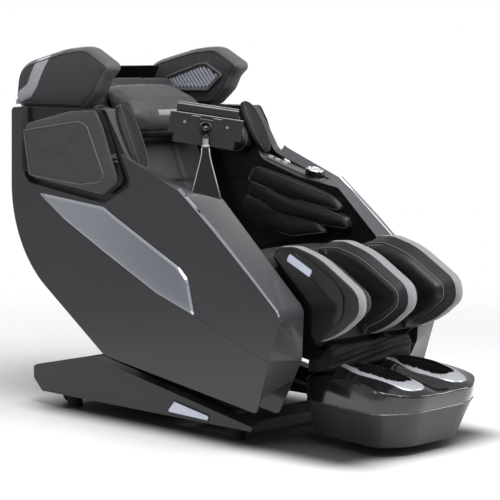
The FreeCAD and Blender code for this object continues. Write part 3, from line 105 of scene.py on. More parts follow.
class Finish:
    """A surface finish: a Principled shader and the nodes that feed it."""

    def __init__(self, name, colour, roughness, metallic=0.0, specular=0.5, coat=0.0, coat_roughness=0.05,
                 sheen=0.0):
        self.material = bpy.data.materials.new(name)
        self.material.use_nodes = True
        self.tree = self.material.node_tree
        self.surface = self.tree.nodes["Principled BSDF"]
        for socket, value in (("Base Color", colour), ("Roughness", roughness), ("Metallic", metallic),
                              ("Specular IOR Level", specular), ("Coat Weight", coat),
                              ("Coat Roughness", coat_roughness), ("Sheen Weight", sheen)):
            self.surface.inputs[socket].default_value = value
        self.place = self.node("ShaderNodeTexCoord", out="Object")

    def node(self, kind, settings=None, *values, out=0, **named):
        made = self.tree.nodes.new(kind)
        for key, value in (settings or {}).items():
            setattr(made, key, value)
        for key, value in [*enumerate(values), *named.items()]:
            self.feed(made.inputs[key], value)
        return Shade(self, made.outputs[out])

    def feed(self, socket, value):
        if isinstance(value, Shade):
            self.tree.links.new(value.socket, socket)
        else:
            socket.default_value = value

    def wears(self, socket, value):
        self.feed(self.surface.inputs[socket], value)

    def noise(self, scale, detail=2.0):
        return self.node("ShaderNodeTexNoise", None, Vector=self.place, Scale=scale, Detail=detail)

    def cells(self, scale, feature="F1"):
        return self.node("ShaderNodeTexVoronoi", {"feature": feature}, Vector=self.place, Scale=scale)

    def axis(self, index):
        return self.node("ShaderNodeSeparateXYZ", None, self.place, out=index)

    def step(self, value, low, high):
        """0 below low, 1 above high, and smooth between."""
        return self.node("ShaderNodeMapRange", {"interpolation_type": "SMOOTHSTEP"}, value, low, high,
                         0.0, 1.0)

    def blend(self, factor, first, second):
        mix = self.tree.nodes.new("ShaderNodeMix")
        mix.data_type = "RGBA"
        for index, value in ((0, factor), (6, first), (7, second)):
            self.feed(mix.inputs[index], value)
        return Shade(self, mix.outputs[2])

    def relief(self, height, distance, strength=1.0, under=None):
        bump = self.node("ShaderNodeBump", None, Strength=strength, Distance=distance, Height=height)
        if under is not None:
            self.tree.links.new(under.socket, bump.socket.node.inputs["Normal"])
        self.wears("Normal", bump)
        return bump


floor_finish = Finish("studio_floor", (0.93, 0.93, 0.93, 1), 0.55, specular=0.2)
floor_finish.wears("Roughness", floor_finish.noise(3.0) * 0.1 + 0.5)
away = floor_finish.node("ShaderNodeVectorMath", {"operation": "LENGTH"}, floor_finish.place, out=1)
floor_finish.wears("Alpha", 1 - floor_finish.step(away, 1.3, 3.4))
# Painted shadow: under the chair's footprint the floor's colour fades to dark grey, standing in for the soft
# contact shadow.
painted_shadow_across = 1 - floor_finish.step(abs(floor_finish.axis(0)), 0.28, 0.46)
painted_shadow_along = 1 - floor_finish.step(abs(floor_finish.axis(1) + 0.03), 0.60, 0.84)
floor_finish.wears("Base Color", floor_finish.blend(painted_shadow_across * painted_shadow_along, (0.93, 0.93, 0.93, 1),
                                                    tone(70, 70, 72)))
bpy.ops.mesh.primitive_plane_add(size=60)
floor = bpy.context.object
floor.name = "studio_floor"
floor.data.materials.append(floor_finish.material)
floor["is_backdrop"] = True

world = bpy.data.worlds.new("studio")
scene.world = world
world.use_nodes = True
sky = world.node_tree
backdrop = sky.nodes["Background"]
room = sky.nodes.new("ShaderNodeBackground")
room.inputs["Color"].default_value = (0.9, 0.93, 1.0, 1)
room.inputs["Strength"].default_value = 0.2
backdrop.inputs["Color"].default_value = (1, 1, 1, 1)
backdrop.inputs["Strength"].default_value = 1.0
rays = sky.nodes.new("ShaderNodeLightPath")
seen = sky.nodes.new("ShaderNodeMath")
seen.operation = "MAXIMUM"
sky.links.new(rays.outputs["Is Camera Ray"], seen.inputs[0])
sky.links.new(rays.outputs["Is Transmission Ray"], seen.inputs[1])
gloss = sky.nodes.new("ShaderNodeMath")
gloss.operation = "MULTIPLY_ADD"
gloss.inputs[1].default_value = 0.26
sky.links.new(rays.outputs["Is Glossy Ray"], gloss.inputs[0])
sky.links.new(seen.outputs[0], gloss.inputs[2])
either = sky.nodes.new("ShaderNodeMixShader")
sky.links.new(gloss.outputs[0], either.inputs[0])
sky.links.new(room.outputs[0], either.inputs[1])
sky.links.new(backdrop.outputs[0], either.inputs[2])
sky.links.new(either.outputs[0], sky.nodes["World Output"].inputs["Surface"])

CHAIR_MIDDLE = Vector((0, -0.1, 0.6))
for name, place, size, power in (
    ("lamp_above", (-0.6, -2.0, 4.6), (4.2, 2.6), 275),
    ("lamp_open_side", (3.4, -2.6, 2.2), (1.0, 3.0), 60),
    ("lamp_shell_side", (-4.6, 1.0, 2.6), (1.6, 3.2), 42),
    ("lamp_behind", (1.2, 4.4, 3.2), (3.0, 1.6), 60),
):
    lamp = bpy.data.objects.new(name, bpy.data.lights.new(name, "AREA"))
    lamp.data.shape = "RECTANGLE"
    lamp.data.size, lamp.data.size_y = size
    lamp.data.energy = power
    lamp.location = place
    lamp.rotation_euler = (CHAIR_MIDDLE - Vector(place)).to_track_quat("-Z", "Y").to_euler()
    scene.collection.objects.link(lamp)

camera = bpy.data.objects.new("camera", bpy.data.cameras.new("camera"))
camera.location = (-4.3536, -4.2591, 1.2020)
camera.rotation_euler = (math.radians(90 - 6.13), 0, math.radians(-45.55))
camera.data.lens = 136.8
camera.data.clip_end = 100
scene.collection.objects.link(camera)
scene.camera = camera


# Side shells and back cover: moulded plastic with a satin charcoal paint that holds a fine orange peel.
# The narrow facets round the arm fronts, like every face of the shells that does not look sideways, are a
# lighter grey as painted light, for the lamp that falls on them.
def painted(*nodes, finish):
    """Gives bare CAD pieces their finish."""
    for name in nodes:
        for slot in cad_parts[name].material_slots:
            slot.material = finish.material


def scaled(colour, factor):
    return (*[factor * v for v in colour[:3]], 1)


def satin(name, colour, roughness, specular=0.35, coat=0.0, peel=900.0):
    """Painted plastic: a faint cloudy tint, handling marks in the gloss and a fine orange peel."""
    made = Finish(name, colour, roughness, specular=specular, coat=coat)
    made.tint = made.blend(made.noise(2.5, 3.0), scaled(colour, 0.9), scaled(colour, 1.1))
    made.wears("Base Color", made.tint)
    made.wears("Roughness", made.noise(14.0, 4.0) * 0.12 + (roughness - 0.06))
    made.relief(made.noise(peel, 1.0), 0.0001, 0.25)
    return made


shell_paint = satin("charcoal_paint", tone(54, 52, 55), 0.3, coat=0.35)
# Painted light: shell faces that do not look sideways are blended to a lighter grey, standing in for the lamp
# light on them.
facing = shell_paint.node("ShaderNodeNewGeometry", out="Normal")
sideways = abs(shell_paint.node("ShaderNodeSeparateXYZ", None, facing, out=0))
painted_light_on_facets = (1 - shell_paint.step(sideways, 0.86, 0.95)) * shell_paint.step(abs(shell_paint.axis(0)), 0.25, 0.262)
shown = shell_paint.blend(painted_light_on_facets, shell_paint.tint, tone(72, 72, 75))
within = (abs(shell_paint.axis(0)) < 0.2702) * (shell_paint.axis(2) > 0.45)
front_of_recess = shell_paint.axis(1) - (shell_paint.axis(2) - 0.776) * 0.482
recess = ((front_of_recess > 0.211) * (abs(shell_paint.axis(0)) < 0.3722) * (abs(shell_paint.axis(0)) > 0.349)
          * (shell_paint.axis(1) < 0.7) * (shell_paint.axis(2) > 0.71) * (shell_paint.axis(2) < 1.002)
          * ((sideways > 0.93) + (sideways < 0.12)))
shell_paint.wears("Base Color", shell_paint.blend(within + recess, shown, tone(22, 22, 23)))
painted("side_shell_left", "side_shell_right", "upper_panel_left", "upper_panel_right", "back_cover",
        finish=shell_paint)


# Bright edge line of each arm: a chromed moulding let in along the outer corner of the arm front,
# broad at the top and fine at the nose.
def rounded(corners, spacing=6.0, closed=True):
    """An evenly spaced line through (u, v, radius) corners, each of them rounded."""
    points = np.array([c[:2] for c in corners], float)
    count = len(points)
    path = []
    for i, (*_, radius) in enumerate(corners):
        here = points[i]
        if not closed and i in (0, count - 1):
            path.append(here)
            continue
        back, ahead = points[i - 1] - here, points[(i + 1) % count] - here
        back_length, ahead_length = np.linalg.norm(back), np.linalg.norm(ahead)
        back, ahead = back / back_length, ahead / ahead_length
        angle = math.acos(max(-1.0, min(1.0, float(back @ ahead))))
        reach = min(radius / math.tan(angle / 2), 0.48 * back_length, 0.48 * ahead_length)
        first, last = here + back * reach, here + ahead * reach
        for s in np.linspace(0, 1, 9):
            path.append((1 - s) ** 2 * first + 2 * s * (1 - s) * here + s ** 2 * last)
    path = np.array(path)
    if closed:
        path = np.vstack([path, path[:1]])
    run = np.concatenate([[0], np.cumsum(np.linalg.norm(np.diff(path, axis=0), axis=1))])
    steps = max(8, int(run[-1] / spacing))
    at = np.linspace(0, run[-1], steps + 1)
    even = np.column_stack([np.interp(at, run, path[:, k]) for k in range(path.shape[1])])
    return even[:-1] if closed else even


def tidy_normals(mesh):
    shape = bmesh.new()
    shape.from_mesh(mesh)
    bmesh.ops.recalc_face_normals(shape, faces=shape.faces)
    shape.to_mesh(mesh)
    shape.free()


def add_piece(name, points, faces, finish, body, slot, replaces=(), smooth=True, turn_out=True):
    """A new mesh piece, in metres, on its body."""
    mesh = bpy.data.meshes.new(name)
    mesh.from_pydata([tuple(map(float, p)) for p in points], [], [tuple(map(int, f)) for f in faces])
    if turn_out:
        tidy_normals(mesh)
    mesh.materials.append(finish.material)
    mesh.shade_smooth() if smooth else mesh.shade_flat()
    piece = bpy.data.objects.new(name, mesh)
    scene.collection.objects.link(piece)
    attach(piece, body)
    if replaces:
        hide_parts(*replaces)
    return piece


def bands(rows, around, loop=False, capped=True):
    """Quads that join rings of points, each to the next, with the two ends capped or joined in a loop."""
    faces = [(i * around + k, i * around + (k + 1) % around,
              (i + 1) % rows * around + (k + 1) % around, (i + 1) % rows * around + k)
             for i in range(rows if loop else rows - 1) for k in range(around)]
    if capped and not loop:
        faces += [tuple(range(around)), tuple((rows - 1) * around + k for k in range(around))]
    return faces


def tube(path, radius, closed=False, sides=8):
    """Points and faces of a round bead along a path. The radius may be a list, one for each point."""
    path = np.array(path, float)
    count = len(path)
    radii = np.broadcast_to(np.array(radius, float), (count,))
    ahead = np.roll(path, -1, axis=0) - np.roll(path, 1, axis=0)
    if not closed:
        ahead[0], ahead[-1] = path[1] - path[0], path[-1] - path[-2]
    ahead /= np.linalg.norm(ahead, axis=1)[:, None]
    up = np.array([1.0, 0, 0]) if abs(ahead[0][0]) < 0.9 else np.array([0, 0, 1.0])
    points = []
    for i in range(count):
        up = up - ahead[i] * (up @ ahead[i])
        up /= np.linalg.norm(up)
        across = np.cross(ahead[i], up)
        for k in range(sides):
            turn = 2 * math.pi * k / sides
            points.append(path[i] + radii[i] * (math.cos(turn) * up + math.sin(turn) * across))
    return points, bands(count, sides, loop=closed)


def joined(parts):
    """Several (points, faces) as one."""
    points, faces = [], []
    for some_points, some_faces in parts:
        start = len(points)
        points += list(some_points)
        faces += [tuple(start + i for i in face) for face in some_faces]
    return points, faces


def side_points(line, x):
    """Side-view points in millimetres as frame points in metres, at a distance from the centre plane."""
    line = np.array(line, float)
    return np.column_stack([np.full(len(line), x), line[:, 0], line[:, 1]]) / 1000


chrome = Finish("chromed_moulding", tone(225, 228, 235), 0.12, metallic=1.0)
chrome.wears("Roughness", chrome.noise(30.0, 3.0) * 0.1 + 0.08)
EDGE_RUN = [(-50, 768, 0), (-208, 648, 30), (-352, 530, 30), (-466, 433, 20), (-477, 416, 0)]
for label, side in SIDES:
    run = rounded(EDGE_RUN, 8.0, closed=False)
    along = np.linspace(0, 1, len(run))
    width = 9.5 * (1 - along) + 2.0
    outer = side_points(run, side * 376.2)
    points = []
    for p, w in zip(outer, width):
        inward = np.array([-side * w / 1000, 0, 0])
        lift = np.array([0, -0.0010, 0.0016])
        points += [p - lift * 2, p + lift, p + inward * 0.85 + lift * 1.2, p + inward - lift]
    add_piece(f"arm_edge_line_{label}", points, bands(len(outer), 4), chrome, "capsule", "silver_paint",
              smooth=False)


# Silver blades: pressed metal panels let into the shells, painted cool silver, with a chromed bevel
# round the edge that catches the light at the top and front.
def distances(points, line, closed=True):
    """Least distance of each point from a line of points."""
    line = np.array(line, float)
    ends = np.roll(line, -1, axis=0) if closed else line[1:]
    starts = line if closed else line[:-1]
    least = np.full(len(points), 1e9)
    for a, b in zip(starts, ends):
        run = b - a
        length = max(float(run @ run), 1e-12)
        share = np.clip(((points - a) @ run) / length, 0, 1)
        least = np.minimum(least, np.linalg.norm(points - (a + share[:, None] * run), axis=1))
    return least


def inside(points, line):
    """Which points lie inside a closed line."""
    found = np.zeros(len(points), bool)
    x, y = points[:, 0], points[:, 1]
    for (x0, y0), (x1, y1) in zip(line, np.roll(line, -1, axis=0)):
        crosses = (y0 > y) != (y1 > y)
        with np.errstate(divide="ignore", invalid="ignore"):
            found ^= crosses & (x < (x1 - x0) * (y - y0) / (y1 - y0) + x0)
    return found


def grown(line, distance):
    """A closed line moved outwards by a distance."""
    line = np.array(line, float)
    ahead = np.roll(line, -1, axis=0) - np.roll(line, 1, axis=0)
    ahead /= np.linalg.norm(ahead, axis=1)[:, None]
    area = np.sum(line[:, 0] * np.roll(line[:, 1], -1) - np.roll(line[:, 0], -1) * line[:, 1])
    return line + np.column_stack([ahead[:, 1], -ahead[:, 0]]) * distance * (1 if area > 0 else -1)


def filled(line, rings, spacing):
    """Triangles that fill a closed line, with rings of points near it: points, faces, distances from it."""
    line = np.array(line, float)
    spots = [line]
    for depth in rings:
        ring = grown(line, -depth)
        clear = inside(ring, line)
        clear &= distances(ring, line) > depth * 0.93
        ring = ring[clear]
        kept = []
        for p in ring:
            if not kept or np.linalg.norm(p - kept[-1]) > spacing * 0.45:
                kept.append(p)
        if kept:
            spots.append(np.array(kept))
    low, high = line.min(axis=0), line.max(axis=0)
    across, up = np.meshgrid(np.arange(low[0], high[0], spacing), np.arange(low[1], high[1], spacing))
    across[1::2] += spacing / 2
    grid = np.column_stack([across.ravel(), up.ravel()])
    grid = grid[inside(grid, line)]
    last = max(rings) if rings else 0
    grid = grid[distances(grid, line) > last + spacing * 0.6]
    spots.append(grid)
    every = np.vstack(spots)
    edges = [(i, (i + 1) % len(line)) for i in range(len(line))]
    made = geometry.delaunay_2d_cdt([Vector(p) for p in every], edges, [], 1, 1e-7)
    flat = np.array([tuple(p) for p in made[0]])
    return flat, [tuple(f) for f in made[2]], distances(flat, line)


silver = Finish("cool_silver_paint", tone(150, 152, 160), 0.34, metallic=0.75, coat=0.3)
flake = silver.cells(2600.0)
silver.wears("Roughness", flake * 0.12 + 0.27)
drift = silver.step(silver.axis(1), -0.1, 0.55)
silver.wears("Base Color", silver.blend(drift, tone(138, 141, 150), tone(176, 178, 186)))
silver.relief(silver.noise(500.0), 0.0001, 0.2)
BLADE = [(625, 722, 6), (295, 692, 40), (257, 672, 40), (-56, 525, 30), (-91, 494, 14), (-119, 383, 3),
         (53, 438, 80), (297, 549, 200), (493, 642, 60)]
blade_line = rounded(BLADE, 7.0)
flat, faces, depth = filled(blade_line, (2.0, 8.0, 9.5), 26.0)
rise = np.interp(depth, [0, 2.0, 8.0, 9.5], [0, 1.4, 4.2, 4.4])
TOP_RUN = [(640, 727, 1), (295, 696, 40), (255, 676, 40), (-60, 527, 30), (-96, 494, 14), (-121, 376, 1)]
top_line = rounded(TOP_RUN, 8.0, closed=False)
for label, side in SIDES:
    points = [(side * (375.4 + r) / 1000, y / 1000, z / 1000) for (y, z), r in zip(flat, rise)]
    piece = add_piece(f"side_blade_{label}", points, faces, silver, "capsule", "silver_paint", turn_out=False)
    if piece.data.polygons[0].normal.x * side < 0:
        piece.data.flip_normals()
    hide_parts("silver_blades")
    piece.data.materials.append(chrome.material)
    near_top = distances(np.array([(p.center.y * 1000, p.center.z * 1000) for p in piece.data.polygons]),
                         top_line, False)
    for polygon, gap in zip(piece.data.polygons, near_top):
        polygon.material_index = 1 if gap < 10.5 and abs(polygon.normal.x) < 0.985 else 0


# Shoulder pads: upholstered panels in each shell's recess, a flat face framed by a fine welt, sloping
# sides and three tucks that meet in the middle. The cover is a fine charcoal leather cloth.
def leather(name, colour, roughness, grain=520.0, grain_depth=0.00018, folds=7.0, fold_depth=0.0012,
            specular=0.3):
    """Leather cloth: pebbled grain, slow folds, a little wear in the gloss."""
    made = Finish(name, colour, roughness, specular=specular, sheen=0.08)
    pebble = made.cells(grain, "DISTANCE_TO_EDGE")
    soft = made.noise(folds, 3.0)
    made.tint = made.blend(made.noise(28.0, 5.0), scaled(colour, 0.82), scaled(colour, 1.15))
    made.wears("Base Color", made.tint)
    made.wears("Roughness", made.noise(60.0, 4.0) * 0.16 + (roughness - 0.08))
    under = made.relief(soft, fold_depth, 0.5)
    made.relief(made.step(pebble, 0.0, 0.16), grain_depth, 0.6, under=under)
    return made


def soft_profile(depth, roll):
    """Height of a rolled edge: a quarter round that is full at roll from the rim."""
    return np.sqrt(np.clip(1 - (1 - np.clip(depth / roll, 0, 1)) ** 2, 0, 1))


def two_faced(flat, faces, near, far, rim, side):
    """A closed form from a filled outline. near and far are each point's distances from the centre plane."""
    count = len(flat)
    on_rim = set(np.nonzero(rim)[0].tolist())
    points = [(side * x / 1000, y / 1000, z / 1000) for (y, z), x in zip(flat, far)]
    second, extra = {}, []
    for i in range(count):
        if i in on_rim:
            second[i] = i
        else:
            second[i] = count + len(extra)
            extra.append((side * near[i] / 1000, flat[i][0] / 1000, flat[i][1] / 1000))
    return points + extra, list(faces) + [tuple(second[i] for i in reversed(f)) for f in faces]


pad_leather = leather("charcoal_leather_cloth", tone(66, 64, 67), 0.5, grain=900.0, folds=5.0,
                      fold_depth=0.0006)
welt_leather = leather("grey_welt", tone(108, 107, 110), 0.42, grain=1200.0, folds=40.0, fold_depth=0.0002)
PAD = [(682, 947, 20), (456, 993, 60), (331, 1000, 18), (298, 950, 30), (223, 776, 24), (296, 730, 30),
       (652, 770, 30)]
PAD_FACE = [(675, 925, 8), (400, 962, 40), (357, 950, 22), (275, 792, 16), (296, 772, 16), (392, 760, 40),
            (648, 780, 8)]
TUCKS = [[(471, 858), (388, 944)], [(471, 858), (390, 772)], [(471, 858), (604, 857)]]
pad_rim, pad_face = rounded(PAD, 7.0), rounded(PAD_FACE, 7.0)
flat, faces, depth = filled(pad_rim, (1.2, 4.0, 8.0, 14.0), 7.0)
to_face = distances(flat, pad_face)
on_face = inside(flat, pad_face)
slope = np.where(on_face, 1.0, depth / (depth + to_face + 1e-6))
tuck = np.zeros(len(flat))
for line in TUCKS:
    tuck = np.maximum(tuck, np.exp(-(distances(flat, line, closed=False) / 5.0) ** 2))
crown = 4.0 * soft_profile(np.where(on_face, to_face, 0), 60)
far = 376.0 + 3.0 * soft_profile(depth, 6) + 12.0 * slope ** 0.8 + crown - 3.6 * tuck
near = np.full(len(flat), 352.0)
for label, side in SIDES:
    points, both = two_faced(flat, faces, near, far, depth < 1e-6, side)
    pad = add_piece(f"shoulder_pad_cover_{label}", points, both, pad_leather, "capsule", "black_leather",
                    replaces=("shoulder_pads",))
    add_piece(f"shoulder_pad_welt_{label}", *tube(side_points(pad_face, side * 391.8), 0.0019, closed=True),
              welt_leather, "capsule", "black_leather")


# Small parts that repeat, such as screws and slats: one item stands at each point of a set,
# turned and sized by that point's own values, and the whole set becomes one plain mesh.
def repeated(name, item, places, turns, sizes, finish, body, scale=1.0):
    mesh = bpy.data.meshes.new(f"{name}_points")
    mesh.from_pydata([tuple(map(float, p)) for p in places], [], [])
    for attribute, values in (("turn", turns), ("size", sizes)):
        made = mesh.attributes.new(attribute, "FLOAT_VECTOR", "POINT")
        made.data.foreach_set("vector", np.array(values, np.float32).ravel())
    holder = bpy.data.objects.new(name, mesh)
    scene.collection.objects.link(holder)
    tree = bpy.data.node_groups.new(f"{name}_layout", "GeometryNodeTree")
    tree.interface.new_socket("Points", in_out="INPUT", socket_type="NodeSocketGeometry")
    for title, kind in (("Item", "NodeSocketObject"), ("Scale", "NodeSocketFloat"),
                        ("Finish", "NodeSocketMaterial")):
        tree.interface.new_socket(title, in_out="INPUT", socket_type=kind)
    tree.interface.new_socket("Set", in_out="OUTPUT", socket_type="NodeSocketGeometry")
    made = {kind: tree.nodes.new(kind) for kind in (
        "NodeGroupInput", "NodeGroupOutput", "GeometryNodeObjectInfo", "GeometryNodeInstanceOnPoints",
        "FunctionNodeEulerToRotation", "GeometryNodeRealizeInstances", "GeometryNodeSetMaterial",
        "GeometryNodeScaleInstances")}
    given, gives = made["NodeGroupInput"], made["NodeGroupOutput"]
    read = {}
    for attribute in ("turn", "size"):
        read[attribute] = tree.nodes.new("GeometryNodeInputNamedAttribute")
        read[attribute].data_type = "FLOAT_VECTOR"
        read[attribute].inputs["Name"].default_value = attribute
    stand, larger = made["GeometryNodeInstanceOnPoints"], made["GeometryNodeScaleInstances"]
    whole, coat = made["GeometryNodeRealizeInstances"], made["GeometryNodeSetMaterial"]
    for source, target in (
        (given.outputs["Item"], made["GeometryNodeObjectInfo"].inputs["Object"]),
        (given.outputs["Points"], stand.inputs["Points"]),
        (made["GeometryNodeObjectInfo"].outputs["Geometry"], stand.inputs["Instance"]),
        (read["turn"].outputs["Attribute"], made["FunctionNodeEulerToRotation"].inputs[0]),
        (made["FunctionNodeEulerToRotation"].outputs[0], stand.inputs["Rotation"]),
        (read["size"].outputs["Attribute"], stand.inputs["Scale"]),
        (stand.outputs["Instances"], larger.inputs["Instances"]),
        (given.outputs["Scale"], larger.inputs["Scale"]),
        (larger.outputs["Instances"], whole.inputs["Geometry"]),
        (whole.outputs["Geometry"], coat.inputs["Geometry"]),
        (given.outputs["Finish"], coat.inputs["Material"]),
        (coat.outputs["Geometry"], gives.inputs["Set"]),
    ):
        tree.links.new(source, target)
    layout = holder.modifiers.new("layout", "NODES")
    layout.node_group = tree
    names = {entry.name: entry.identifier for entry in tree.interface.items_tree if entry.in_out == "INPUT"}
    layout[names["Item"]] = item
    layout[names["Scale"]] = scale
    layout[names["Finish"]] = finish.material
    bpy.context.view_layer.update()
    plain = bpy.data.meshes.new_from_object(holder.evaluated_get(bpy.context.evaluated_depsgraph_get()))
    plain.name = name
    holder.modifiers.clear()
    holder.data = plain
    plain.shade_flat()
    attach(holder, body)
    return holder


def item(name, points, faces):
    """A small mesh for repeated(), kept out of sight itself."""
    mesh = bpy.data.meshes.new(name)
    mesh.from_pydata(points, [], faces)
    tidy_normals(mesh)
    made = bpy.data.objects.new(name, mesh)
    made.hide_render = True
    return made


def turned(profile, sides):
    """A turned item about Z from (radius, height) pairs, closed at both ends."""
    points = [(r * math.cos(2 * math.pi * k / sides), r * math.sin(2 * math.pi * k / sides), h)
              for r, h in profile for k in range(sides)]
    return points, bands(len(profile), sides)


def aimed(direction):
    """Euler turn that points an item's Z along a direction."""
    return tuple(Vector(direction).to_track_quat("Z", "Y").to_euler())


screw_item = item("screw_item", *turned(
    [(0.0, -0.4), (1.0, -0.4), (1.0, 0.3), (0.8, 0.55), (0.45, 0.6), (0.42, 0.1), (0.0, 0.1)], 12))


# Head wings: stuffed boxes of charcoal leather cloth on the shell tops, two faces and a band between
# them, welted at both edges, with a bent silver strip on the outer face.
def joined_rings(first, second):
    """Quads between two rings of point numbers."""
    count = len(first)
    return [(first[k], first[(k + 1) % count], second[(k + 1) % count], second[k]) for k in range(count)]


def bolster(corners, near, far, side, edge=6.0, bulge=6.0, near_dome=5.0, far_dome=5.0, roll=30.0, rows=8,
            spacing=7.0):
    """A stuffed box: side faces near and far from the centre plane, and a band that bulges between them.
    Gives points, faces, each face's row (-1 far face, -2 near face) and the two welt lines."""
    outline = rounded(corners, spacing)
    rim = grown(outline, -edge)
    flat, faces, depth = filled(rim, (2.0, 6.0, 13.0), spacing)
    height = soft_profile(depth, roll)
    count, around = len(flat), len(rim)
    points = [(side * (far - far_dome + far_dome * h) / 1000, y / 1000, z / 1000)
              for (y, z), h in zip(flat, height)]
    points += [(side * (near + near_dome - near_dome * h) / 1000, y / 1000, z / 1000)
               for (y, z), h in zip(flat, height)]
    all_faces = list(faces) + [tuple(count + i for i in reversed(f)) for f in faces]
    row_of = [-1] * len(faces) + [-2] * len(faces)
    x_far, x_near = far - far_dome, near + near_dome
    last = list(range(around))
    for row in range(1, rows + 1):
        share = row / rows
        if row < rows:
            start = len(points)
            swell = edge + bulge * math.sin(math.pi * share) ** 0.6
            x = x_far + (x_near - x_far) * share
            points += [(side * x / 1000, y / 1000, z / 1000) for y, z in grown(rim, swell)]
            here = list(range(start, start + around))
        else:
            here = list(range(count, count + around))
        all_faces += joined_rings(last, here)
        row_of += [row - 1] * around
        last = here
    welts = [side_points(rim, side * x_far), side_points(rim, side * x_near)]
    return points, all_faces, row_of, welts


def fill_out(piece, held, cap, pressure=4.0, frames=20):
    """Blows a sewn cover up as its filling would. The held points stay, and none moves further than cap."""
    rest = np.array([v.co for v in piece.data.vertices], float)
    pins = piece.vertex_groups.new(name="seams")
    pins.add([int(i) for i in held], 1.0, "REPLACE")
    cloth = piece.modifiers.new("filling", "CLOTH")
    fabric = cloth.settings
    fabric.quality = 5
    fabric.mass = 0.3
    fabric.tension_stiffness = fabric.compression_stiffness = 15
    fabric.bending_stiffness = 0.6
    fabric.use_pressure = True
    fabric.uniform_pressure_force = pressure
    fabric.effector_weights.gravity = 0
    fabric.vertex_group_mass = "seams"
    cloth.point_cache.frame_start, cloth.point_cache.frame_end = 1, frames
    for step in range(1, frames + 1):
        scene.frame_set(step)
    blown = piece.evaluated_get(bpy.context.evaluated_depsgraph_get())
    moved = np.array([v.co for v in blown.data.vertices], float) - rest
    length = np.linalg.norm(moved, axis=1)[:, None]
    moved *= np.minimum(1, cap / np.maximum(length, 1e-9))
    piece.modifiers.remove(cloth)
    piece.vertex_groups.remove(pins)
    scene.frame_set(1)
    piece.data.vertices.foreach_set("co", (rest + moved).astype(np.float32).ravel())
    piece.data.update()


def surface_of(piece):
    shape = bmesh.new()
    shape.from_mesh(piece.data)
    tree = BVHTree.FromBMesh(shape)
    shape.free()
    return tree


def laid_on(tree, origins, direction, lift):
    """Where rays from the origins meet a surface, lifted off it. Rays that miss are left out."""
    found = []
    for origin in origins:
        spot, normal, _, _ = tree.ray_cast(Vector(origin), Vector(direction))
        if spot is not None:
            if normal.dot(Vector(direction)) > 0:
                normal = -normal
            found.append(spot + normal * lift)
    return found


WING = [(785, 1110, 70), (740, 1145, 120), (548, 1187, 300), (440, 1196, 80), (322, 1136, 34),
        (365, 1102, 60), (390, 1058, 90), (460, 1004, 50), (780, 1004, 16), (798, 1031, 30)]
STRIPE = [(616, 1172, 1), (687, 1158, 1), (727, 1075, 30), (800, 1040, 1), (800, 1006, 1), (712, 1032, 30),
          (676, 1066, 24)]
wing_leather = leather("wing_leather_cloth", tone(62, 60, 63), 0.46, grain=700.0, folds=4.0,
                       fold_depth=0.0008)
band_leather = leather("grey_band_cloth", tone(92, 91, 93), 0.5, grain=1500.0, folds=20.0, fold_depth=0.0003)
stripe_paint = satin("silver_vinyl", tone(172, 173, 178), 0.42, peel=1400.0)
for label, side in SIDES:
    points, faces, rows, welts = bolster(WING, 258, 329, side, edge=9, bulge=6, near_dome=3, far_dome=6,
                                         roll=40)
    wing = add_piece(f"wing_cover_{label}", points, faces, wing_leather, "capsule", "black_leather",
                     replaces=(f"head_wing_{label}",))
    wing.data.materials.append(band_leather.material)
    for polygon, row in zip(wing.data.polygons, rows):
        polygon.material_index = 1 if row >= 0 and polygon.center.y < 0.47 else 0
    seams = [i for i, p in enumerate(points) if min(abs(abs(p[0]) - x) for x in (0.323, 0.261)) < 1e-5]
    fill_out(wing, seams, 0.006)
    parts = [tube(line, 0.0021, closed=True) for line in welts]
    add_piece(f"wing_welt_{label}", *joined(parts), wing_leather, "capsule", "black_leather")
    flat, stripe_faces, depth = filled(rounded(STRIPE, 8.0), (1.5,), 12.0)
    tree = surface_of(wing)
    lifted = [laid_on(tree, [(side * 0.6, y / 1000, z / 1000)], (-side, 0, 0), 0.0012 if d > 1 else 0.0001)
              for (y, z), d in zip(flat, depth)]
    points = [spot[0] if spot else (side * 0.323, y / 1000, z / 1000) for spot, (y, z) in zip(lifted, flat)]
    add_piece(f"wing_stripe_{label}", points, stripe_faces, stripe_paint, "capsule", "silver_paint")


# Speaker grilles on the inner faces of the wings: a raised six-sided frame in grey moulding round
# slanted bright slats over a dark gauze. Its middle is plain.
frame_grey = satin("grille_frame_grey", tone(84, 83, 84), 0.45)
gauze = Finish("dark_gauze", tone(16, 16, 17), 0.6)
gauze.relief(gauze.cells(900.0), 0.0002, 0.8)
slat_silver = Finish("bright_slats", tone(206, 210, 224), 0.3, metallic=0.3)
slat_silver.wears("Roughness", slat_silver.noise(60.0) * 0.15 + 0.22)
GRILLE = [(683, 1094, 8), (507, 1144, 12), (472, 1146, 12), (399, 1109, 10), (399, 1095, 10),
          (463, 1046, 12), (655, 1043, 10)]
SLAT_COUNT, SLAT_LEAN = 17, 96.0
box_item = item("box_item", [(x, y, z) for x in (-1, 1) for y in (-1, 1) for z in (-1, 1)],
                [(0, 1, 3, 2), (4, 6, 7, 5), (0, 4, 5, 1), (2, 3, 7, 6), (0, 2, 6, 4), (1, 5, 7, 3)])
grille_rim = rounded(GRILLE, 6.0)
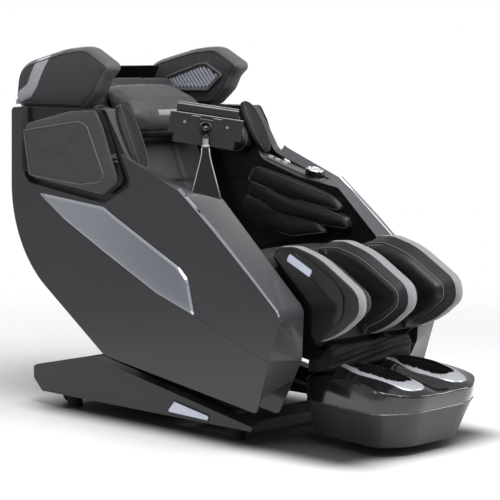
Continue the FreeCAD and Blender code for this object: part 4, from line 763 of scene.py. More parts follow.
for label, side in SIDES:
    rings = [(grille_rim, 258.5), (grille_rim, 252.0), (grown(grille_rim, -3), 248.5),
             (grown(grille_rim, -5), 248.5), (grown(grille_rim, -17), 256.5),
             (grown(grille_rim, -17), 258.5)]
    points = np.vstack([side_points(line, side * x) for line, x in rings])
    add_piece(f"grille_frame_{label}", points, bands(len(rings), len(grille_rim), loop=True), frame_grey,
              "capsule", "grille_metal", replaces=("speaker_grilles",))
    window = grown(grille_rim, -15)
    flat, back_faces, _ = filled(window, (), 20.0)
    add_piece(f"grille_gauze_{label}", side_points(flat, side * 257.0), back_faces, gauze, "capsule",
              "grille_metal")
    places, turns, sizes = [], [], []
    for i in range(SLAT_COUNT):
        top = np.array([712 - i * 19.0, 1146.0])
        foot = top + np.array([-SLAT_LEAN, -104.0])
        spots = top + (foot - top) * np.linspace(0, 1, 80)[:, None]
        within = spots[inside(spots, window)]
        if len(within) < 4:
            continue
        low, high = within[0], within[-1]
        middle, reach = (low + high) / 2, np.linalg.norm(high - low) / 2
        lean = math.atan2(-(high - low)[0], (high - low)[1])
        places.append((side * 0.2545, middle[0] / 1000, middle[1] / 1000))
        turns.append((lean, 0, 0))
        sizes.append((0.0014, 0.0046, reach / 1000))
    repeated(f"grille_slats_{label}", box_item, places, turns, sizes, slat_silver, "capsule")


# Airbags: flat black gloss bladders, three down the inner side of each arm and one beside each shoulder,
# each with a fine grey welt just inside its edge.
bag_cloth = leather("airbag_cloth", tone(17, 17, 18), 0.34, grain=1100.0, folds=9.0, fold_depth=0.0016,
                    specular=0.4)
fine_welt = leather("fine_grey_welt", tone(74, 74, 77), 0.4, grain=1600.0, folds=30.0, fold_depth=0.0001)
BAGS = {
    "top": (244, [(246, 806, 40), (-128, 716, 60), (-168, 662, 30), (70, 688, 120), (276, 745, 30)]),
    "middle": (238, [(262, 757, 40), (70, 709, 120), (-110, 674, 80), (-188, 650, 30), (-196, 606, 30),
                     (-75, 612, 80), (130, 640, 120), (270, 694, 30)]),
    "low": (235, [(276, 708, 40), (130, 668, 120), (-66, 636, 40), (-110, 590, 30), (51, 566, 80),
                  (237, 596, 80), (294, 650, 40)]),
    "shoulder": (236, [(486, 998, 40), (400, 1003, 60), (330, 985, 90), (266, 915, 90), (256, 866, 50),
                       (300, 838, 60), (447, 845, 60)]),
}
for label, side in SIDES:
    for level, (reach, corners) in BAGS.items():
        rim = rounded(corners, 6.0)
        flat, faces, depth = filled(rim, (1.0, 3.0, 7.0, 13.0), 7.5)
        near = 262 - (262 - reach) * soft_profile(depth, 24)
        far = 263 + 4.0 * soft_profile(depth, 4)
        points, both = two_faced(flat, faces, near, far, depth < 1e-6, side)
        bag = add_piece(f"airbag_{level}_{label}", points, both, bag_cloth, "capsule", "airbag_fabric",
                        replaces=("shoulder_airbags",) if level == "shoulder" else ("arm_airbags",))
        fill_out(bag, range(len(rim)), 0.004, pressure=2.0)
        inner = grown(rim, -7)
        welt = laid_on(surface_of(bag), side_points(inner, 0), (side, 0, 0), 0.0006)
        add_piece(f"airbag_welt_{level}_{label}", *tube(welt, 0.0016, closed=True), fine_welt, "capsule",
                  "airbag_fabric")


# Shoulder rolls: a stuffed black roll down the front of each shell beside the head, with a fine welt.
roll_leather = leather("black_roll_leather", tone(13, 13, 14), 0.42, grain=1000.0, folds=8.0,
                       fold_depth=0.001, specular=0.22)
ROLL_RINGS = 40
wall = bmesh.new()
for node in ("upper_panel_right", "side_shell_right"):
    wall.from_mesh(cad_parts[node].data)
wall_tree = BVHTree.FromBMesh(wall)
wall.free()
heights = np.linspace(0.860, 0.995, 12)
fronts = [wall_tree.ray_cast(Vector((-0.300, -1, z)), Vector((0, 1, 0)))[0] for z in heights]
line = np.polyfit(heights, [p.y for p in fronts], 1)
for label, side in SIDES:
    points, seam_near, seam_far, count = [], [], [], 28
    foot = 0.802 if side < 0 else 0.846
    for share in np.linspace(0, 1, ROLL_RINGS):
        z = foot + (1.014 - foot) * share
        full = max(0.0, 1 - abs(2 * share - 1) ** 2.6) ** 0.5
        thick, wide = 0.003 + 0.021 * full * (0.75 + 0.25 * share), 0.004 + 0.036 * full
        centre = Vector((side * (0.294 - 0.010 * share), np.polyval(line, z) - 0.004, z))
        for k in range(count):
            turn = 2 * math.pi * k / count
            reach = Vector((side * wide * math.cos(turn), thick * math.sin(turn), 0))
            points.append(centre + reach)
        seam_near.append(centre + Vector((-side * wide * 0.8, -thick * 0.62 - 0.0008, 0)))
        seam_far.append(centre + Vector((side * wide * 0.55, -thick * 0.86 - 0.0008, 0)))
    roll_piece = add_piece(f"shoulder_roll_{label}", points, bands(ROLL_RINGS, count), roll_leather,
                           "capsule", "airbag_fabric", replaces=("shoulder_airbags",))
    add_piece(f"shoulder_roll_welt_{label}", *tube(seam_near + seam_far[::-1], 0.0015, closed=True),
              fine_welt, "capsule", "airbag_fabric")


# Back cushion, seat cushion and head pillow: dark leather over foam, filled covers with tucks
# across them. The pillow is a softer grey, sewn across its foot, with a small bare cloth patch.
def eased(shape, times):
    """Smooths a form a number of times."""
    for _ in range(times):
        bmesh.ops.smooth_vert(shape, verts=shape.verts, factor=0.5, use_axis_x=True, use_axis_y=True,
                              use_axis_z=True)


def covered(node, name, finish, drawn, voxel, cap):
    """A filled cover over a CAD cushion: its form drawn in a little, remeshed, blown up and held to a cap."""
    shape = bmesh.new()
    shape.from_mesh(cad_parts[node].data)
    bmesh.ops.remove_doubles(shape, verts=shape.verts, dist=1e-5)
    mesh = bpy.data.meshes.new(name)
    shape.to_mesh(mesh)
    shape.free()
    made = bpy.data.objects.new(name, mesh)
    scene.collection.objects.link(made)
    remesh = made.modifiers.new("even", "REMESH")
    remesh.mode, remesh.voxel_size = "VOXEL", voxel
    even = bpy.data.meshes.new_from_object(made.evaluated_get(bpy.context.evaluated_depsgraph_get()))
    made.modifiers.clear()
    shape = bmesh.new()
    shape.from_mesh(even)
    eased(shape, 4)
    shape.normal_update()
    for v in shape.verts:
        v.co -= v.normal * drawn
    shape.to_mesh(even)
    shape.free()
    made.data = even
    even.materials.clear()
    even.materials.append(finish.material)
    even.shade_smooth()
    fill_out(made, [], cap)
    shape = bmesh.new()
    shape.from_mesh(even)
    eased(shape, 3)
    shape.to_mesh(even)
    shape.free()
    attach(made, "capsule")
    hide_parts(node)
    return made


def tucked(piece, measure, depth, width):
    """Draws a cover in along a seam. measure gives each point's distance from the seam."""
    count = len(piece.data.vertices)
    spots = np.zeros(count * 3, np.float32)
    piece.data.vertices.foreach_get("co", spots)
    spots = spots.reshape(-1, 3)
    normals = np.array([tuple(v.normal) for v in piece.data.vertices])
    pull = depth * np.exp(-(measure(spots) / width) ** 2)
    piece.data.vertices.foreach_set("co", (spots - normals * pull[:, None]).astype(np.float32).ravel())
    piece.data.update()


def up_line(foot, slope_degrees):
    """Distance of points up a sloping line from its foot, in metres."""
    run, rise_up = math.cos(math.radians(slope_degrees)), math.sin(math.radians(slope_degrees))
    return lambda spots: (spots[:, 1] - foot[0]) * run + (spots[:, 2] - foot[1]) * rise_up


seat_leather = leather("black_seat_leather", tone(24, 24, 25), 0.42, folds=11.0, fold_depth=0.0022,
                       specular=0.32)
pillow_leather = leather("grey_pillow_leather", tone(72, 72, 74), 0.48, folds=6.0, fold_depth=0.0012)
back_leather = leather("charcoal_back_leather", tone(48, 47, 49), 0.44, folds=7.0, fold_depth=0.0018)
up_back = up_line((0.312, 0.560), 64.0)
back_cover_piece = covered("back_cushion", "back_cushion_cover", back_leather, 0.003, 0.008, 0.006)
for place in (0.205, 0.360, 0.500):
    tucked(back_cover_piece, lambda spots, at=place: up_back(spots) - at, 0.006, 0.007)
for place in (-0.085, 0.085):
    tucked(back_cover_piece, lambda spots, at=place: np.where(up_back(spots) > 0.0, spots[:, 0] - at, 1.0),
           0.005, 0.006)
along_seat = up_line((-0.232, 0.588), -12.0)
seat_cover_piece = covered("seat_cushion", "seat_cushion_cover", seat_leather, 0.003, 0.007, 0.007)
for place in (0.06, 0.248, 0.38):
    tucked(seat_cover_piece, lambda spots, at=place: along_seat(spots) - at, 0.006, 0.007)
for place in (-0.12, 0.12):
    tucked(seat_cover_piece, lambda spots, at=place: spots[:, 0] - at, 0.005, 0.006)
pillow = covered("head_pillow", "head_pillow_cover", pillow_leather, 0.003, 0.0055, 0.006)
tucked(pillow, lambda spots: spots[:, 2] - 0.918, 0.004, 0.004)
pillow_skin = surface_of(pillow)
seam = laid_on(pillow_skin, [(x, 0.1, 0.918) for x in np.linspace(-0.2, 0.2, 60)], (0, 1, 0), 0.0008)
add_piece("pillow_welt", *tube(seam, 0.0018), welt_leather, "capsule", "black_leather")
PATCH = [(-62, 972, 2), (62, 972, 2), (62, 992, 2), (-62, 992, 2)]
flat, faces, depth = filled(rounded(PATCH, 4.0), (1.0,), 7.0)
points = [(laid_on(pillow_skin, [(x / 1000, 0.1, z / 1000)], (0, 1, 0),
                   0.0012 if d > 0.5 else 0.0) or [(x / 1000, 0.4, z / 1000)])[0]
          for (x, z), d in zip(flat, depth)]
patch_cloth = Finish("pale_patch_cloth", tone(150, 150, 152), 0.7)
patch_cloth.wears("Base Color", patch_cloth.blend(patch_cloth.noise(400.0), tone(138, 138, 140),
                                                  tone(162, 162, 164)))
patch_cloth.relief(patch_cloth.cells(1500.0), 0.0002, 0.7)
add_piece("pillow_patch", points, faces, patch_cloth, "capsule", "black_leather")


# Calf ridges: three padded ridges on the calf shell. Each has a strip of silver-grey mesh along its
# crown, dark pleated bands beside it, a light welt, and smooth black leather over its sides.
RIDGE = [(-330, 581, 8), (-351, 603, 30), (-412, 608, 110), (-510, 583, 420), (-664, 490, 90),
         (-671, 427, 80), (-591, 362, 300), (-512, 330, 8)]
ridge_rim = rounded(RIDGE, 7.0)
SHELL_SIDE = [(-512, 330), (-330, 581)]


def drawn_in(depth):
    """The ridge's outline drawn in by a depth, except where it lies on the calf shell."""
    moved = grown(ridge_rim, -depth)
    share = np.clip(distances(ridge_rim, SHELL_SIDE, closed=False) / 30, 0, 1)
    return ridge_rim + (moved - ridge_rim) * share[:, None]


def pleats(start, end, shallow, deep, count=6):
    """Stations across a pleated band: ridges and furrows in turn."""
    return [(x, d + (1.3 if k % 2 else -0.9), 1) for k, (x, d) in
            enumerate(zip(np.linspace(start, end, 2 * count), np.linspace(shallow, deep, 2 * count)))]


half_ridge = [(0, -1.4, 0), (11, -0.8, 0), (20, 0.6, 0), (21.5, 3.4, 1), *pleats(23, 41, 3.6, 15),
              (42.6, 18.5, 1), (44, 20.5, 2), (46.5, 23, 2), (49.2, 28, 2), (50.4, 36, 2), (50.6, 46, 2)]
MIDDLE_RIDGE = [(-x, d, p) for x, d, p in half_ridge[:0:-1]] + half_ridge
OUTER_RIDGE = [(245.6, 30, 2), (245.6, 6, 2), (244.6, 2.6, 2), (242, 0.4, 0), (226, -1.2, 0), (208, 0.6, 0),
               (206.4, 3.4, 1), *pleats(204.5, 176, 3.6, 15), (173.5, 18.5, 1), (171, 20.5, 2),
               (166, 22.5, 2), (157, 27, 2), (151, 34, 2), (149.6, 46, 2)]
ridge_leather = leather("black_gloss_leather", tone(13, 12, 13), 0.34, folds=8.0, fold_depth=0.0016,
                        specular=0.45)
mesh_cloth = Finish("silver_grey_mesh", tone(128, 128, 131), 0.55, specular=0.35, sheen=0.3)
holes = mesh_cloth.cells(650.0)
mesh_cloth.wears("Base Color", mesh_cloth.blend(mesh_cloth.step(holes, 0.15, 0.5), tone(74, 74, 77),
                                                tone(150, 150, 153)))
mesh_cloth.wears("Roughness", mesh_cloth.noise(300.0) * 0.2 + 0.42)
mesh_cloth.relief(holes, 0.0006, 0.8)
pleat_cloth = leather("dark_pleated_cloth", tone(25, 25, 28), 0.45, grain=1500.0, folds=60.0,
                      fold_depth=0.0004)
for node, side, stations, welts in (("calf_pad_left", 1, OUTER_RIDGE, (171,)),
                                    ("calf_pad_right", -1, OUTER_RIDGE, (171,)),
                                    ("calf_pad_middle", 1, MIDDLE_RIDGE, (-44, 44))):
    points, part, around = [], [], len(ridge_rim)
    faces = bands(len(stations), around, capped=False)
    for row, (x, depth, kind) in enumerate(stations):
        points += list(side_points(drawn_in(depth), side * x))
        if row:
            part += [max(kind, stations[row - 1][2])] * around
    held = list(range(len(points)))
    for row in (0, len(stations) - 1):
        x, depth, _ = stations[row]
        ring = drawn_in(depth)
        flat, cap_faces, gap = filled(ring, (6.0,), 11.0)
        outward = 1 if (x > stations[1 - row][0] if row == 0 else x > stations[-2][0]) else -1
        puff = 0.0 if abs(x) > 240 else 3.0
        index = {i: row * around + i for i in range(around)}
        for i in range(around, len(flat)):
            index[i] = len(points)
            points.append(side_points([flat[i]], side * (x + outward * puff * soft_profile(gap[i], 30)))[0])
        faces += [tuple(index[i] for i in f) for f in cap_faces]
        part += [2] * len(cap_faces)
    pad = add_piece(f"{node}_cover", points, faces, mesh_cloth, "leg_rest", "ridge_fabric", replaces=(node,))
    pad.data.materials.append(pleat_cloth.material)
    pad.data.materials.append(ridge_leather.material)
    pad.data.polygons.foreach_set("material_index", part)
    fill_out(pad, held, 0.004)
    parts = [tube(side_points(drawn_in(19.0), side * x), 0.0017, closed=True, sides=6) for x in welts]
    add_piece(f"{node}_welt", *joined(parts), welt_leather, "leg_rest", "ridge_fabric")


# Calf shell: gloss black moulding with a white lamp lens let into each side. The troughs between the
# ridges are lined in a dull black.
def glossy(name, colour, roughness=0.12, coat=0.6):
    """Polished moulding with a trace of handling marks."""
    made = Finish(name, colour, roughness, specular=0.5, coat=coat, coat_roughness=0.04)
    made.wears("Base Color", made.blend(made.noise(3.0), scaled(colour, 0.8), colour))
    made.wears("Roughness", made.noise(20.0, 5.0) * 0.12 + roughness)
    return made


piano_black = glossy("piano_black", tone(17, 16, 18))
calf_black = glossy("calf_black", tone(17, 16, 18))
trough = abs(calf_black.axis(0)) < 0.243
calf_black.wears("Roughness", calf_black.noise(20.0, 5.0) * 0.12 + trough * 0.42 + 0.12)
calf_black.wears("Coat Weight", 0.6 - trough * 0.6)
painted("calf_shell", finish=calf_black)
lens = Finish("white_lens", tone(205, 209, 222), 0.3, coat=0.5)
lens.wears("Base Color", lens.blend(lens.step(lens.cells(260.0), 0.2, 0.6), tone(214, 218, 230),
                                    tone(188, 193, 208)))
lens.wears("Emission Color", tone(190, 196, 214))
lens.surface.inputs["Emission Strength"].default_value = 0.25
lens.relief(lens.cells(260.0), 0.0005, 0.5)
painted("calf_lights", "base_lenses", finish=lens)


# Foot unit: a sculpted gloss housing with a well for each foot, silver crescents that are broad at the
# toes and thin toward the heels, a valley between them, and a grey tray below a bright rim line.
def mirrored(corners):
    return corners + [(-x, y, r) for x, y, r in corners[::-1]]


def resampled(line, count):
    line = np.vstack([line, line[:1]])
    run = np.concatenate([[0], np.cumsum(np.linalg.norm(np.diff(line, axis=0), axis=1))])
    at = np.linspace(0, run[-1], count, endpoint=False)
    return np.column_stack([np.interp(at, run, line[:, k]) for k in (0, 1)])


RIM = mirrored([(188, -403, 30), (228, -728, 60), (125, -786, 130)])
BROW = mirrored([(186, -397, 30), (224, -734, 60), (128, -800, 130)])
OPENING = [(60, -734, 44), (140, -734, 44), (158, -600, 90), (116, -500, 34), (84, -500, 34), (44, -600, 90)]
CRESCENT = [(58, -782, 50), (146, -778, 56), (178, -600, 130), (124, -470, 40), (76, -470, 40),
            (29, -640, 130)]
AROUND = 220
CREST = np.polyfit([-800, -740, -660, -580, -500, -430, -397], [194, 208, 226, 238, 234, 221, 211], 4)
EDGE = np.polyfit([-800, -740, -692, -614, -550, -494, -450, -397], [186, 202, 213, 226, 229, 223, 214, 200],
                  4)
brow_line = resampled(rounded(BROW, 5.0), AROUND)
rim_line = resampled(rounded(RIM, 5.0), AROUND)
crescents = {side: rounded([(side * x, y, r) for x, y, r in CRESCENT], 6.0) for side in (1, -1)}
openings = {side: rounded([(side * x, y, r) for x, y, r in OPENING], 5.0) for side in (1, -1)}


def plan_points(plan, height):
    """Plan points and their heights in millimetres as frame points in metres."""
    return [(x / 1000, y / 1000, z / 1000) for (x, y), z in zip(plan, np.broadcast_to(height, len(plan)))]


def foot_height(spots):
    """Height of the housing's top over plan points."""
    x, y = np.abs(spots[:, 0]), spots[:, 1]
    edge = np.polyval(EDGE, y)
    top = np.polyval(CREST, y) + 14 * np.exp(-((x - 105) / 60) ** 2) - 20 * np.exp(-(x / 34) ** 2)
    share = np.clip(distances(spots, brow_line) / 70, 0, 1)
    return edge + (top - edge) * (1 - (1 - share) ** 2.2)


spots = [brow_line]
brow_middle = brow_line.mean(axis=0)
for share in (0.990, 0.975, 0.955, 0.93):
    spots.append(brow_middle + (brow_line - brow_middle) * share)
edges = [(i, (i + 1) % AROUND) for i in range(AROUND)]
for side in (1, -1):
    for line in (openings[side], crescents[side]):
        start = sum(len(s) for s in spots)
        edges += [(start + i, start + (i + 1) % len(line)) for i in range(len(line))]
        spots.append(line)
    spots += [grown(crescents[side], 3), grown(crescents[side], -2), grown(crescents[side], 8),
              grown(openings[side], 7)]
placed = np.vstack(spots)
across, down = np.meshgrid(np.arange(-220, 221, 9.0), np.arange(-800, -396, 9.0))
grid = np.column_stack([across.ravel(), down.ravel()])
grid = grid[inside(grid, brow_line) & (distances(grid, brow_line) > 19)]
near = BVHTree.FromPolygons([(*p, 0) for p in placed], [(i, i, i) for i in range(len(placed))])
grid = grid[[near.find_nearest((*p, 0))[3] > 5.5 for p in grid]]
placed = np.vstack([placed, grid])
made = geometry.delaunay_2d_cdt([Vector(p) for p in placed], edges, [], 0, 1e-4)
flat = np.array([tuple(p) for p in made[0]])
middles = np.array([flat[list(f)].mean(axis=0) for f in made[2]])
keep = inside(middles, brow_line)
for side in (1, -1):
    keep &= ~inside(middles, openings[side])
points = plan_points(flat, foot_height(flat))
faces = [tuple(f) for f, k in zip(made[2], keep) if k]
ROWS, RIM_HEIGHT = 8, 137.5
last = list(range(AROUND))
for row in range(1, ROWS + 1):
    share = row / ROWS
    swell = (grown(brow_line, 2.5) - brow_line) * math.sin(math.pi * share)
    line = brow_line + (rim_line - brow_line) * share + swell
    height = foot_height(brow_line) * (1 - share) + RIM_HEIGHT * share
    start = len(points)
    points += plan_points(line, height)
    here = list(range(start, start + AROUND))
    faces += joined_rings(last, here)
    last = here
housing_black = glossy("housing_black", tone(26, 26, 28), 0.1, 0.8)
housing = add_piece("foot_housing_top", points, faces, housing_black, "foot_rest", "gloss_black",
                    replaces=("foot_housing",), turn_out=False)
crescent_silver = glossy("crescent_silver", tone(186, 188, 194), 0.26, 0.4)
crescent_silver.surface.inputs["Metallic"].default_value = 0.25
for label, side in SIDES:
    flat, crescent_faces, gap = filled(crescents[side], (2.0, 5.0), 8.0)
    holed = [f for f in crescent_faces if not inside(flat[list(f)].mean(axis=0)[None], openings[side])[0]]
    edge_gap = np.minimum(gap, distances(flat, openings[side]))
    lifted = foot_height(flat) - 0.6 + 3.2 * soft_profile(edge_gap, 5)
    add_piece(f"crescent_{label}", plan_points(flat, lifted), holed, crescent_silver, "foot_rest",
              "silver_paint", turn_out=False)
if housing.data.polygons[0].normal.z < 0:
    housing.data.flip_normals()

well_cloth = leather("black_well_cloth", tone(26, 25, 27), 0.5, grain=900.0, folds=14.0, fold_depth=0.0016)
lip_black = glossy("lip_black", tone(20, 20, 21))
WELL_FLOOR = 91.0
WELL_WALL = [(0, 0), (0.06, 1.5), (0.16, 0.5), (0.3, 2.5), (0.45, 2.0), (0.6, 4.5), (0.75, 5.0), (0.9, 8.5),
             (1, 14)]
ROLLER_WINDOW = [(-34, -667.5), (34, -667.5), (34, -632.5), (-34, -632.5)]
for label, side in SIDES:
    rim = openings[side]
    high = foot_height(rim) - 0.4
    count = len(rim)
    points = []
    for share, inset in WELL_WALL:
        points += plan_points(grown(rim, -inset), high * (1 - share) + WELL_FLOOR * share)
    faces = bands(len(WELL_WALL), count, capped=False)
    bottom = grown(rim, -14)
    window = np.array([(side * 100 + x, y) for x, y in ROLLER_WINDOW])
    outline_points = [Vector(p) for p in (*bottom, *window)]
    frame_edges = [(i, (i + 1) % count) for i in range(count)]
    frame_edges += [(count + i, count + (i + 1) % 4) for i in range(4)]
    sole = geometry.delaunay_2d_cdt(outline_points, frame_edges, [], 1, 1e-4)
    start = len(points)
    points += plan_points(sole[0], WELL_FLOOR)
    for f in sole[2]:
        middle = np.mean([tuple(sole[0][i]) for i in f], axis=0)
        if not inside(middle[None], window)[0]:
            faces.append(tuple(start + i for i in f))
    add_piece(f"foot_well_{label}", points, faces, well_cloth, "foot_rest", "airbag_fabric",
              replaces=("foot_liners", "foot_trims"))
    add_piece(f"foot_well_lip_{label}", *tube(plan_points(rim, high + 0.6), 0.0022, closed=True), lip_black,
              "foot_rest", "gloss_black")
    ribs = []
    for depth in (34, 50, 66, 82):
        share = depth / 120
        ribs.append(tube(plan_points(grown(rim, -7), high * (1 - share) + WELL_FLOOR * share), 0.0035,
                         closed=True, sides=6))
    add_piece(f"foot_well_ribs_{label}", *joined(ribs), well_cloth, "foot_rest", "airbag_fabric")
rim_metal = glossy("bright_rim", tone(120, 121, 128), 0.2, 0.4)
rim_metal.surface.inputs["Metallic"].default_value = 0.8
add_piece("foot_rim_line", *tube(plan_points(grown(rim_line, 0.6), RIM_HEIGHT), 0.0019, closed=True),
          rim_metal, "foot_rest", "silver_paint")
tray_grey = satin("tray_grey", tone(56, 56, 58), 0.34, coat=0.15, peel=1200.0)
along_tray = abs(tray_grey.axis(1) + 0.728 - (0.137 - tray_grey.axis(2)) * 0.336)
beside = abs(tray_grey.axis(0)) > 0.15
tray_grey.wears("Base Color", tray_grey.blend((along_tray < 0.0011) * beside, tray_grey.tint,
                                              tone(24, 24, 26)))
painted("foot_tray", finish=tray_grey)


# Bellows: black cloth that hides the slide tubes between the calf shell and the foot unit, crumpled into
# loose folds that run across it.
BELLOWS = [(-502, 232, 6), (-424, 224, 6), (-420, 262, 16), (-503, 317, 16), (-514, 290, 18)]
bellows_ring = rounded(BELLOWS, 5.0)
bellows_cloth = leather("black_bellows_cloth", tone(11, 10, 12), 0.5, grain=800.0, folds=16.0,
                        fold_depth=0.003, specular=0.2)
rng = np.random.default_rng(7)
waves = [(rng.uniform(18, 44), rng.uniform(60, 190), rng.uniform(0, 6.3),
          rng.uniform(0.6, 1.3)) for _ in range(7)]
run = np.concatenate([[0], np.cumsum(np.linalg.norm(np.diff(bellows_ring, axis=0), axis=1))])
across_bellows = np.linspace(-187, 187, 76)
points = []
count = len(bellows_ring)
for x in across_bellows:
    fold = sum(size * np.sin(2 * math.pi * (run / pitch + x / stride) + start)
               for pitch, stride, start, size in waves)
    end = math.sqrt(max(0.0, 1 - ((abs(x) - 165) / 24) ** 2)) if abs(x) > 165 else 1.0
    line = grown(bellows_ring, -2 - 10 * (1 - end))
    outward = grown(line, 1.0) - line
    form = side_points(line + outward * (fold * 1.7 * end)[:, None], x)
    flare = 1 + 0.09 * np.clip((0.31 - form[:, 2]) / 0.09, 0, 1)
    points += list(form * np.column_stack([flare, np.ones(count), np.ones(count)]))
folds = add_piece("bellows_cloth", points, bands(len(across_bellows), count), bellows_cloth, "foot_rest",
                  "bellows_fabric", replaces=("bellows",))


# Base: grey painted skirts with a lit lens, a silver rear deck, black steel frame, rubber feet and wheels,
# and the drives and boxes inside.
skirt_paint = satin("skirt_paint", tone(58, 57, 59), 0.38)
deck_silver = satin("deck_silver", tone(150, 151, 153), 0.3, coat=0.3)
powder = satin("black_powder_coat", tone(30, 30, 31), 0.6, peel=2600.0)
black_plastic = satin("black_plastic", tone(28, 28, 29), 0.45)
steel = Finish("brushed_steel", tone(176, 178, 182), 0.3, metallic=1.0)
steel.wears("Roughness", steel.noise(90.0, 5.0) * 0.2 + 0.2)
steel.wears("Base Color", steel.blend(steel.noise(8.0), tone(160, 162, 168), tone(190, 191, 194)))
steel.relief(steel.noise(1800.0), 0.00005, 0.3)
rubber = Finish("black_rubber", tone(26, 26, 26), 0.8, specular=0.25)
rubber.wears("Base Color", rubber.blend(rubber.noise(40.0, 4.0), tone(22, 22, 22), tone(40, 39, 38)))
rubber.wears("Roughness", rubber.noise(90.0) * 0.15 + 0.7)
rubber.relief(rubber.noise(900.0), 0.0002, 0.5)
painted("base_skirts", finish=skirt_paint)
painted("base_rear_deck", finish=deck_silver)
painted("base_frame", "slide_carriage", "seat_back_frame", "leg_frame", finish=powder)
painted("recline_motor", "leg_motor", "air_pump", "control_box", "power_inlet", "power_switch",
        "massage_carriage", "kneading_arms", finish=black_plastic)
painted("guide_rails", "tilt_shaft", "recline_rod", "leg_rod", "foot_slides", finish=steel)
painted("rubber_feet", "transport_wheels", "foot_rollers", "massage_heads_upper", "massage_heads_lower",
        finish=rubber)


# Lens frames: a dark bead round each lit lens of the base.
spots = np.array([tuple(v.co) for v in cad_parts["base_lenses"].data.vertices]) * 1000
for label, side in SIDES:
    reach = np.abs(spots[:, 0]).max()
    face = np.unique(spots[spots[:, 0] * side > reach - 0.2][:, 1:].round(1), axis=0)
    hull = geometry.convex_hull_2d([Vector(p) for p in face])
    outline = grown(rounded([(*face[i], 2) for i in hull], 4.0), 3.0)
    add_piece(f"lens_frame_{label}", *tube(side_points(outline, side * (reach + 0.2)), 0.0024, closed=True),
              piano_black, "base", "black_plastic")


# Control panel on the left arm: a long grey plate with a turning knob, whose top is a bright disc in a
# ring, and four small buttons with ring marks.
panel_grey = satin("panel_grey", tone(96, 95, 95), 0.34, coat=0.2)
knob_black = glossy("knob_black", tone(24, 24, 25))
disc_white = glossy("disc_white", tone(214, 216, 220), 0.18)
painted("control_panel", finish=panel_grey)
painted("control_knob", finish=knob_black)
ARM_UP = Vector((0, -0.2706, 0.9627))
ARM_ALONG = Vector((0, 0.9627, 0.2706))


def top_of(node):
    """Middle of a control's top face, from its own mesh."""
    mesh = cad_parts[node].data
    spots = np.array([tuple(v.co) for v in mesh.vertices])
    reach = spots @ np.array(ARM_UP)
    top = spots[reach > reach.max() - 2e-4]
    return Vector((top.min(axis=0) + top.max(axis=0)) / 2)


def circle_on_arm(middle, radius, count):
    """Points of a circle about the arm's normal."""
    return [middle + Vector((math.cos(a), 0, 0)) * radius + ARM_ALONG * math.sin(a) * radius
            for a in np.linspace(0, 2 * math.pi, count, endpoint=False)]


knob_top = top_of("control_knob")
disc = [(0.0001, 0.0), (0.0255, 0.0), (0.0255, 0.0008), (0.02, 0.0014), (0.0001, 0.0017)]
points, faces = turned(disc, 40)
points = [knob_top + Vector((1, 0, 0)) * p[0] + ARM_ALONG * p[1] + ARM_UP * p[2] for p in points]
add_piece("knob_disc", points, faces, disc_white, "knob", "silver_paint")
add_piece("knob_ring", *tube(circle_on_arm(knob_top, 0.0285, 64), 0.0019, closed=True), chrome, "knob",
          "silver_paint")
for number in range(1, 5):
    painted(f"control_button_{number}", finish=disc_white)
    mark = circle_on_arm(top_of(f"control_button_{number}"), 0.0048, 24)
    add_piece(f"button_mark_{number}", *tube(mark, 0.0005, closed=True, sides=5), knob_black,
              f"button_{number}", "black_plastic")


# Device holder on the right arm: a black stand with painted highlights as light beads along its edges, a pale
# tube with a silver collar, a black plate with bright screws and a sprung clamp with a silver edge.
holder_black = satin("holder_black", tone(30, 29, 30), 0.3, coat=0.3)
bright = satin("bright_edges", tone(172, 172, 174), 0.3, coat=0.2)
tube_grey = satin("pale_tube", tone(158, 157, 154), 0.3)
tube_grey.wears("Base Color", tube_grey.blend(tube_grey.axis(2) > 0.9305, tube_grey.tint, tone(26, 26, 27)))
painted("holder_bracket", "holder_plate", "clamp_jaw", finish=holder_black)
painted("holder_tube", finish=tube_grey)
BALL = Vector((-0.300, -0.092, 0.951))
stand_turn = Euler((0, 0, math.radians(-45.5))).to_matrix()
leaf_turn = (stand_turn @ Matrix.Rotation(math.radians(12), 3, "X")
             @ Matrix.Rotation(math.radians(8.5), 3, "Y"))


def on_leaf(x, y, z):
    return BALL + leaf_turn @ Vector((x, y, z)) / 1000


def on_stand(x, y, z):
    return Vector((-0.300, -0.092, 0)) + stand_turn @ Vector((x, y, z)) / 1000
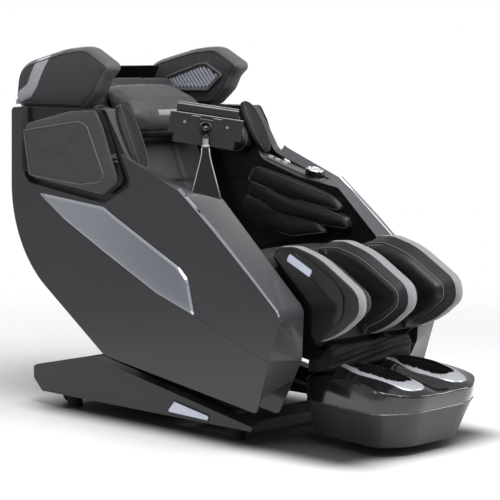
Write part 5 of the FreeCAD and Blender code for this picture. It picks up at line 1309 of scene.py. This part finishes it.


# Painted highlights: light grey beads along the stand's edges stand in for the light that catches them.
STAND_EDGE = ((46, 737), (33, 788), (20, 838), (13, 868), (11, 892))
painted_stand_highlights = [tube([on_stand(side * x, y, z) for x, z in STAND_EDGE], 0.0016, sides=6)
                  for side in (-1, 1) for y in (-11, 11)]
add_piece("stand_edges", *joined(painted_stand_highlights), bright, "capsule", "silver_paint")
points, faces = turned([(0.0092, 0), (0.0125, 0.001), (0.0125, 0.007), (0.0092, 0.008)], 24)
add_piece("tube_collar", [on_stand(0, 0, 893.5) + Vector(p) for p in points], faces, bright, "holder_arm",
          "silver_paint")
points, faces = turned([(0.0092, 0), (0.0108, 0.001), (0.0108, 0.0085), (0.0092, 0.0095)], 24)
add_piece("tube_cap", [on_stand(0, 0, 921) + Vector(p) for p in points], faces, piano_black,
          "holder_arm", "black_plastic")
screws = [on_leaf(x, 15.7, 8) for x in (-66, 66)]
facing_out = aimed(leaf_turn @ Vector((0, -1, 0)))
repeated("plate_screws", screw_item, screws, [facing_out] * len(screws),
         [(0.0042, 0.0042, 0.0030)] * len(screws), bright, "holder_head")
points, faces = turned([(0.0001, -0.0115), (0.0075, -0.0088), (0.0112, -0.003), (0.0112, 0.003),
                        (0.0075, 0.0088), (0.0001, 0.0115)], 24)
add_piece("tilt_ball", [BALL + stand_turn @ Vector((p[0], p[2] - 0.004, p[1])) for p in points], faces,
          piano_black, "holder_arm", "black_plastic")
socket = [on_leaf(17.5 * math.cos(a), 14.6, 17.5 * math.sin(a))
          for a in np.linspace(-0.05, math.pi + 0.05, 24)]
add_piece("ball_ring", *tube(socket, 0.0021), bright, "holder_head", "silver_paint")
BLOCK = [(-52, -12, 6), (-52, 26, 6), (52, 26, 6), (52, -12, 6), (19.5, -14, 4), (19.5, 12, 8), (12, 19, 8),
         (-12, 19, 8), (-19.5, 12, 8), (-19.5, -14, 4)]
block_line = rounded(BLOCK, 3.0)
flat, faces, gap = filled(block_line, (1.5,), 6.0)
count = len(block_line)
points = [on_leaf(x, 11.0 if d > 1 else 12.2, z) for (x, z), d in zip(flat, gap)]
points += [on_leaf(x, 16.0, z) for x, z in block_line]
faces = list(faces) + joined_rings(range(count), range(len(flat), len(flat) + count))
add_piece("plate_block", points, faces, holder_black, "holder_head", "black_plastic", smooth=False)
plate_edge = tube([on_leaf(x, 16, 36.4) for x in (-112, 112)], 0.0014, sides=6)
pad_edge = [tube([on_leaf(side * 20, 10, 32.3), on_leaf(side * 47, 10, 32.3)], 0.0012, sides=6)
            for side in (-1, 1)]
add_piece("plate_edges", *joined([plate_edge, *pad_edge]), bright, "holder_head", "silver_paint")
jaw_edge = [tube([on_leaf(x, y, 61.4) for x in (-94, 94)], 0.0016, sides=6) for y in (25, 49)]
add_piece("jaw_edges", *joined(jaw_edge), bright, "jaw", "silver_paint")


sizes = {"cad": [list(c) for c in cad_box], "visual": [list(c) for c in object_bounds()]}
